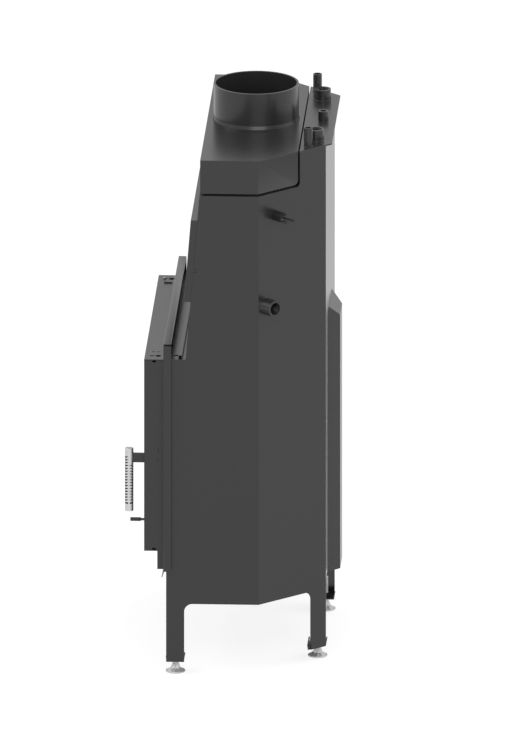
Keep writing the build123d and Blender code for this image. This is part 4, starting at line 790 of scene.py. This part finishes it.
# %% Helper that lays a weld bead
def weld_ring(name, centre, axis, radius, bead, ripples, finish, steps=96):
    """A rippled ring round an axis."""
    axis = Vector(axis).normalized()
    across = axis.orthogonal().normalized()
    beside = axis.cross(across)
    points = []
    faces = []
    corners = 6
    for index in range(steps):
        angle = 2 * math.pi * index / steps
        swell = bead * (1 + 0.12 * math.cos(ripples * angle) + 0.05 * random.uniform(-1, 1))
        outward = across * math.cos(angle) + beside * math.sin(angle)
        for corner in range(corners):
            turn = 2 * math.pi * corner / corners
            reach = radius + swell * math.cos(turn)
            points.append(Vector(centre) + outward * reach + axis * (swell * math.sin(turn)))
        here = corners * index
        ahead = corners * ((index + 1) % steps)
        for corner in range(corners):
            beyond = (corner + 1) % corners
            faces.append((here + corner, here + beyond, ahead + beyond, ahead + corner))
    return add_piece(name, points, faces, finish, "insert")


# %% [markdown]
# The smoke tubes stand in a row at even distances, so their axes follow from the box round them all. The
# sockets use the places of their mounts, and the bead of a coil end lies lower, on the tank itself.

# %% Weld beads round tubes and sockets
TUBES = 5
SOCKET_WALL = 0.00535
COIL_BARE = 0.010
tube_low, tube_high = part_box("smoke_tubes")
tube_radius = (tube_high.y - tube_low.y) / 2
tube_y = (tube_low.y + tube_high.y) / 2
tube_step = (tube_high.x - tube_low.x - 2 * tube_radius) / (TUBES - 1)
for number in range(TUBES):
    tube_x = tube_low.x + tube_radius + number * tube_step
    weld_ring(
        f"tube_weld_{number + 1}", (tube_x, tube_y, tube_low.z), UP, tube_radius, 0.0022, 34,
        boiler_plate,
    )
for side in SIDES:
    for kind, mount, below, wall in (
        ("flow", "flow", 0.0, SOCKET_WALL),
        ("coil", "coil_end", COIL_BARE, 0.0),
        ("return", "return", 0.0, SOCKET_WALL),
    ):
        start, axis, radius = connection(f"{mount}_{side}")
        weld_ring(
            f"{kind}_weld_{side}", start - axis * below, axis, radius + wall, 0.0013, 26, outer_coat,
        )

# %% [markdown]
# The studio. The floor and the room are white to the camera, and the lamps stay at a plain level, so the
# coating keeps its own colour. The room has two strengths, and the Light Path node picks one: a softer
# one lights the object, and the other is seen. In reflections that one is a little darker than white,
# and that keeps the level tops grey.

# %% Room
def seen_directly(tree):
    """One where a ray comes from the camera, a mirror or glass, and zero elsewhere."""
    path = tree.nodes.new("ShaderNodeLightPath")
    first = add_node(tree, "ShaderNodeMath", operation="MAXIMUM")
    second = add_node(tree, "ShaderNodeMath", operation="MAXIMUM")
    tree.links.new(path.outputs["Is Camera Ray"], first.inputs[0])
    tree.links.new(path.outputs["Is Glossy Ray"], first.inputs[1])
    tree.links.new(first.outputs[0], second.inputs[0])
    tree.links.new(path.outputs["Is Transmission Ray"], second.inputs[1])
    return second.outputs[0]


room = bpy.data.worlds.new("studio_room")
bpy.context.scene.world = room
room.use_nodes = True
room_tree = room.node_tree
room_tree.nodes.clear()
room_out = add_node(room_tree, "ShaderNodeOutputWorld")
room_dim = add_node(room_tree, "ShaderNodeBackground", {"Color": (1, 1, 1, 1), "Strength": 0.75})
room_white = add_node(room_tree, "ShaderNodeBackground", {"Color": (1, 1, 1, 1), "Strength": 1.0})
room_mix = add_node(room_tree, "ShaderNodeMixShader")
room_path = add_node(room_tree, "ShaderNodeLightPath")
room_level = add_node(room_tree, "ShaderNodeMath", {1: -0.21, 2: 1.0}, operation="MULTIPLY_ADD")
room_tree.links.new(room_path.outputs["Is Glossy Ray"], room_level.inputs[0])
room_tree.links.new(room_level.outputs[0], room_white.inputs["Strength"])
room_tree.links.new(seen_directly(room_tree), room_mix.inputs[0])
room_tree.links.new(room_dim.outputs[0], room_mix.inputs[1])
room_tree.links.new(room_white.outputs[0], room_mix.inputs[2])
room_tree.links.new(room_mix.outputs[0], room_out.inputs["Surface"])
print("room lights at", room_dim.inputs["Strength"].default_value)

# %% [markdown]
# The floor adds a glow that only camera, mirror and glass rays see to a pale diffuse surface. The
# diffuse part takes the shadow of the object, and the two together are white where no shadow falls.

# %% Floor
studio_floor_finish = bpy.data.materials.new("studio_floor")
studio_floor_finish.use_nodes = True
floor_tree = studio_floor_finish.node_tree
floor_tree.nodes.clear()
floor_out = add_node(floor_tree, "ShaderNodeOutputMaterial")
floor_matt = add_node(floor_tree, "ShaderNodeBsdfDiffuse", {"Color": (0.3, 0.3, 0.3, 1)})
floor_glow = add_node(floor_tree, "ShaderNodeEmission", {"Color": (1, 1, 1, 1)})
floor_level = add_node(floor_tree, "ShaderNodeMath", {1: 0.78}, operation="MULTIPLY")
floor_sum = add_node(floor_tree, "ShaderNodeAddShader")
floor_tree.links.new(seen_directly(floor_tree), floor_level.inputs[0])
floor_tree.links.new(floor_level.outputs[0], floor_glow.inputs["Strength"])
floor_tree.links.new(floor_matt.outputs[0], floor_sum.inputs[0])
floor_tree.links.new(floor_glow.outputs[0], floor_sum.inputs[1])
floor_tree.links.new(floor_sum.outputs[0], floor_out.inputs["Surface"])

floor_mesh = bpy.data.meshes.new("studio_floor")
reach = 30.0
floor_mesh.from_pydata(
    [(-reach, -reach, 0), (reach, -reach, 0), (reach, reach, 0), (-reach, reach, 0)], [], [(0, 1, 2, 3)]
)
studio_floor = bpy.data.objects.new("studio_floor", floor_mesh)
bpy.context.scene.collection.objects.link(studio_floor)
floor_mesh.materials.append(studio_floor_finish)
studio_floor.location.z = -0.0005
print("floor reaches", reach, "m to each side")

# %% [markdown]
# Three soft lamps. One hangs over the door side, the biggest and furthest lights the side that the
# camera sees, and a third is behind. All are large for their distance, so that the shadows stay soft.

# %% Lamps
def soft_lamp(name, place, aim, size, power):
    """A square area lamp that points at a place."""
    lamp = bpy.data.lights.new(name, "AREA")
    lamp.shape = "SQUARE"
    lamp.size = size
    lamp.energy = power
    holder = bpy.data.objects.new(name, lamp)
    bpy.context.scene.collection.objects.link(holder)
    holder.location = place
    holder.rotation_euler = (Vector(aim) - Vector(place)).to_track_quat("-Z", "Y").to_euler()


middle = (0.0, 0.0, 0.7)
soft_lamp("lamp_over_door", (0.6, -3.2, 3.6), middle, 2.6, 50)
soft_lamp("lamp_camera_side", (6.4, 1.0, 3.9), middle, 4.5, 150)
soft_lamp("lamp_behind", (-0.6, 3.4, 3.0), middle, 2.6, 39)

# %% [markdown]
# The camera. In the photograph lines that run away stay parallel, so there is no perspective. A very long
# lens from very far gives nearly that, and an orthographic camera gives it exactly, at any distance. The
# direction comes from the slopes of the edges: 92.78 degrees round from the door, and 16.2 degrees up.

# %% Camera
distance = 12.0
turn = math.radians(2.78)
rise = math.radians(16.2)
aim = Vector((0.0, 0.0577, 0.6485))
frame_height = 1.8213
direction = Vector((math.cos(rise) * math.cos(turn), math.cos(rise) * math.sin(turn), math.sin(rise)))
lens = bpy.data.cameras.new("photo_camera")
lens.type = "ORTHO"
lens.ortho_scale = frame_height
lens.clip_start = 1.0
lens.clip_end = 100.0
camera = bpy.data.objects.new("photo_camera", lens)
bpy.context.scene.collection.objects.link(camera)
camera.location = aim + direction * distance
camera.rotation_euler = (-direction).to_track_quat("-Z", "Y").to_euler()
bpy.context.scene.camera = camera
bpy.context.scene.view_settings.view_transform = "Standard"
print("frame height:", lens.ortho_scale, "m")
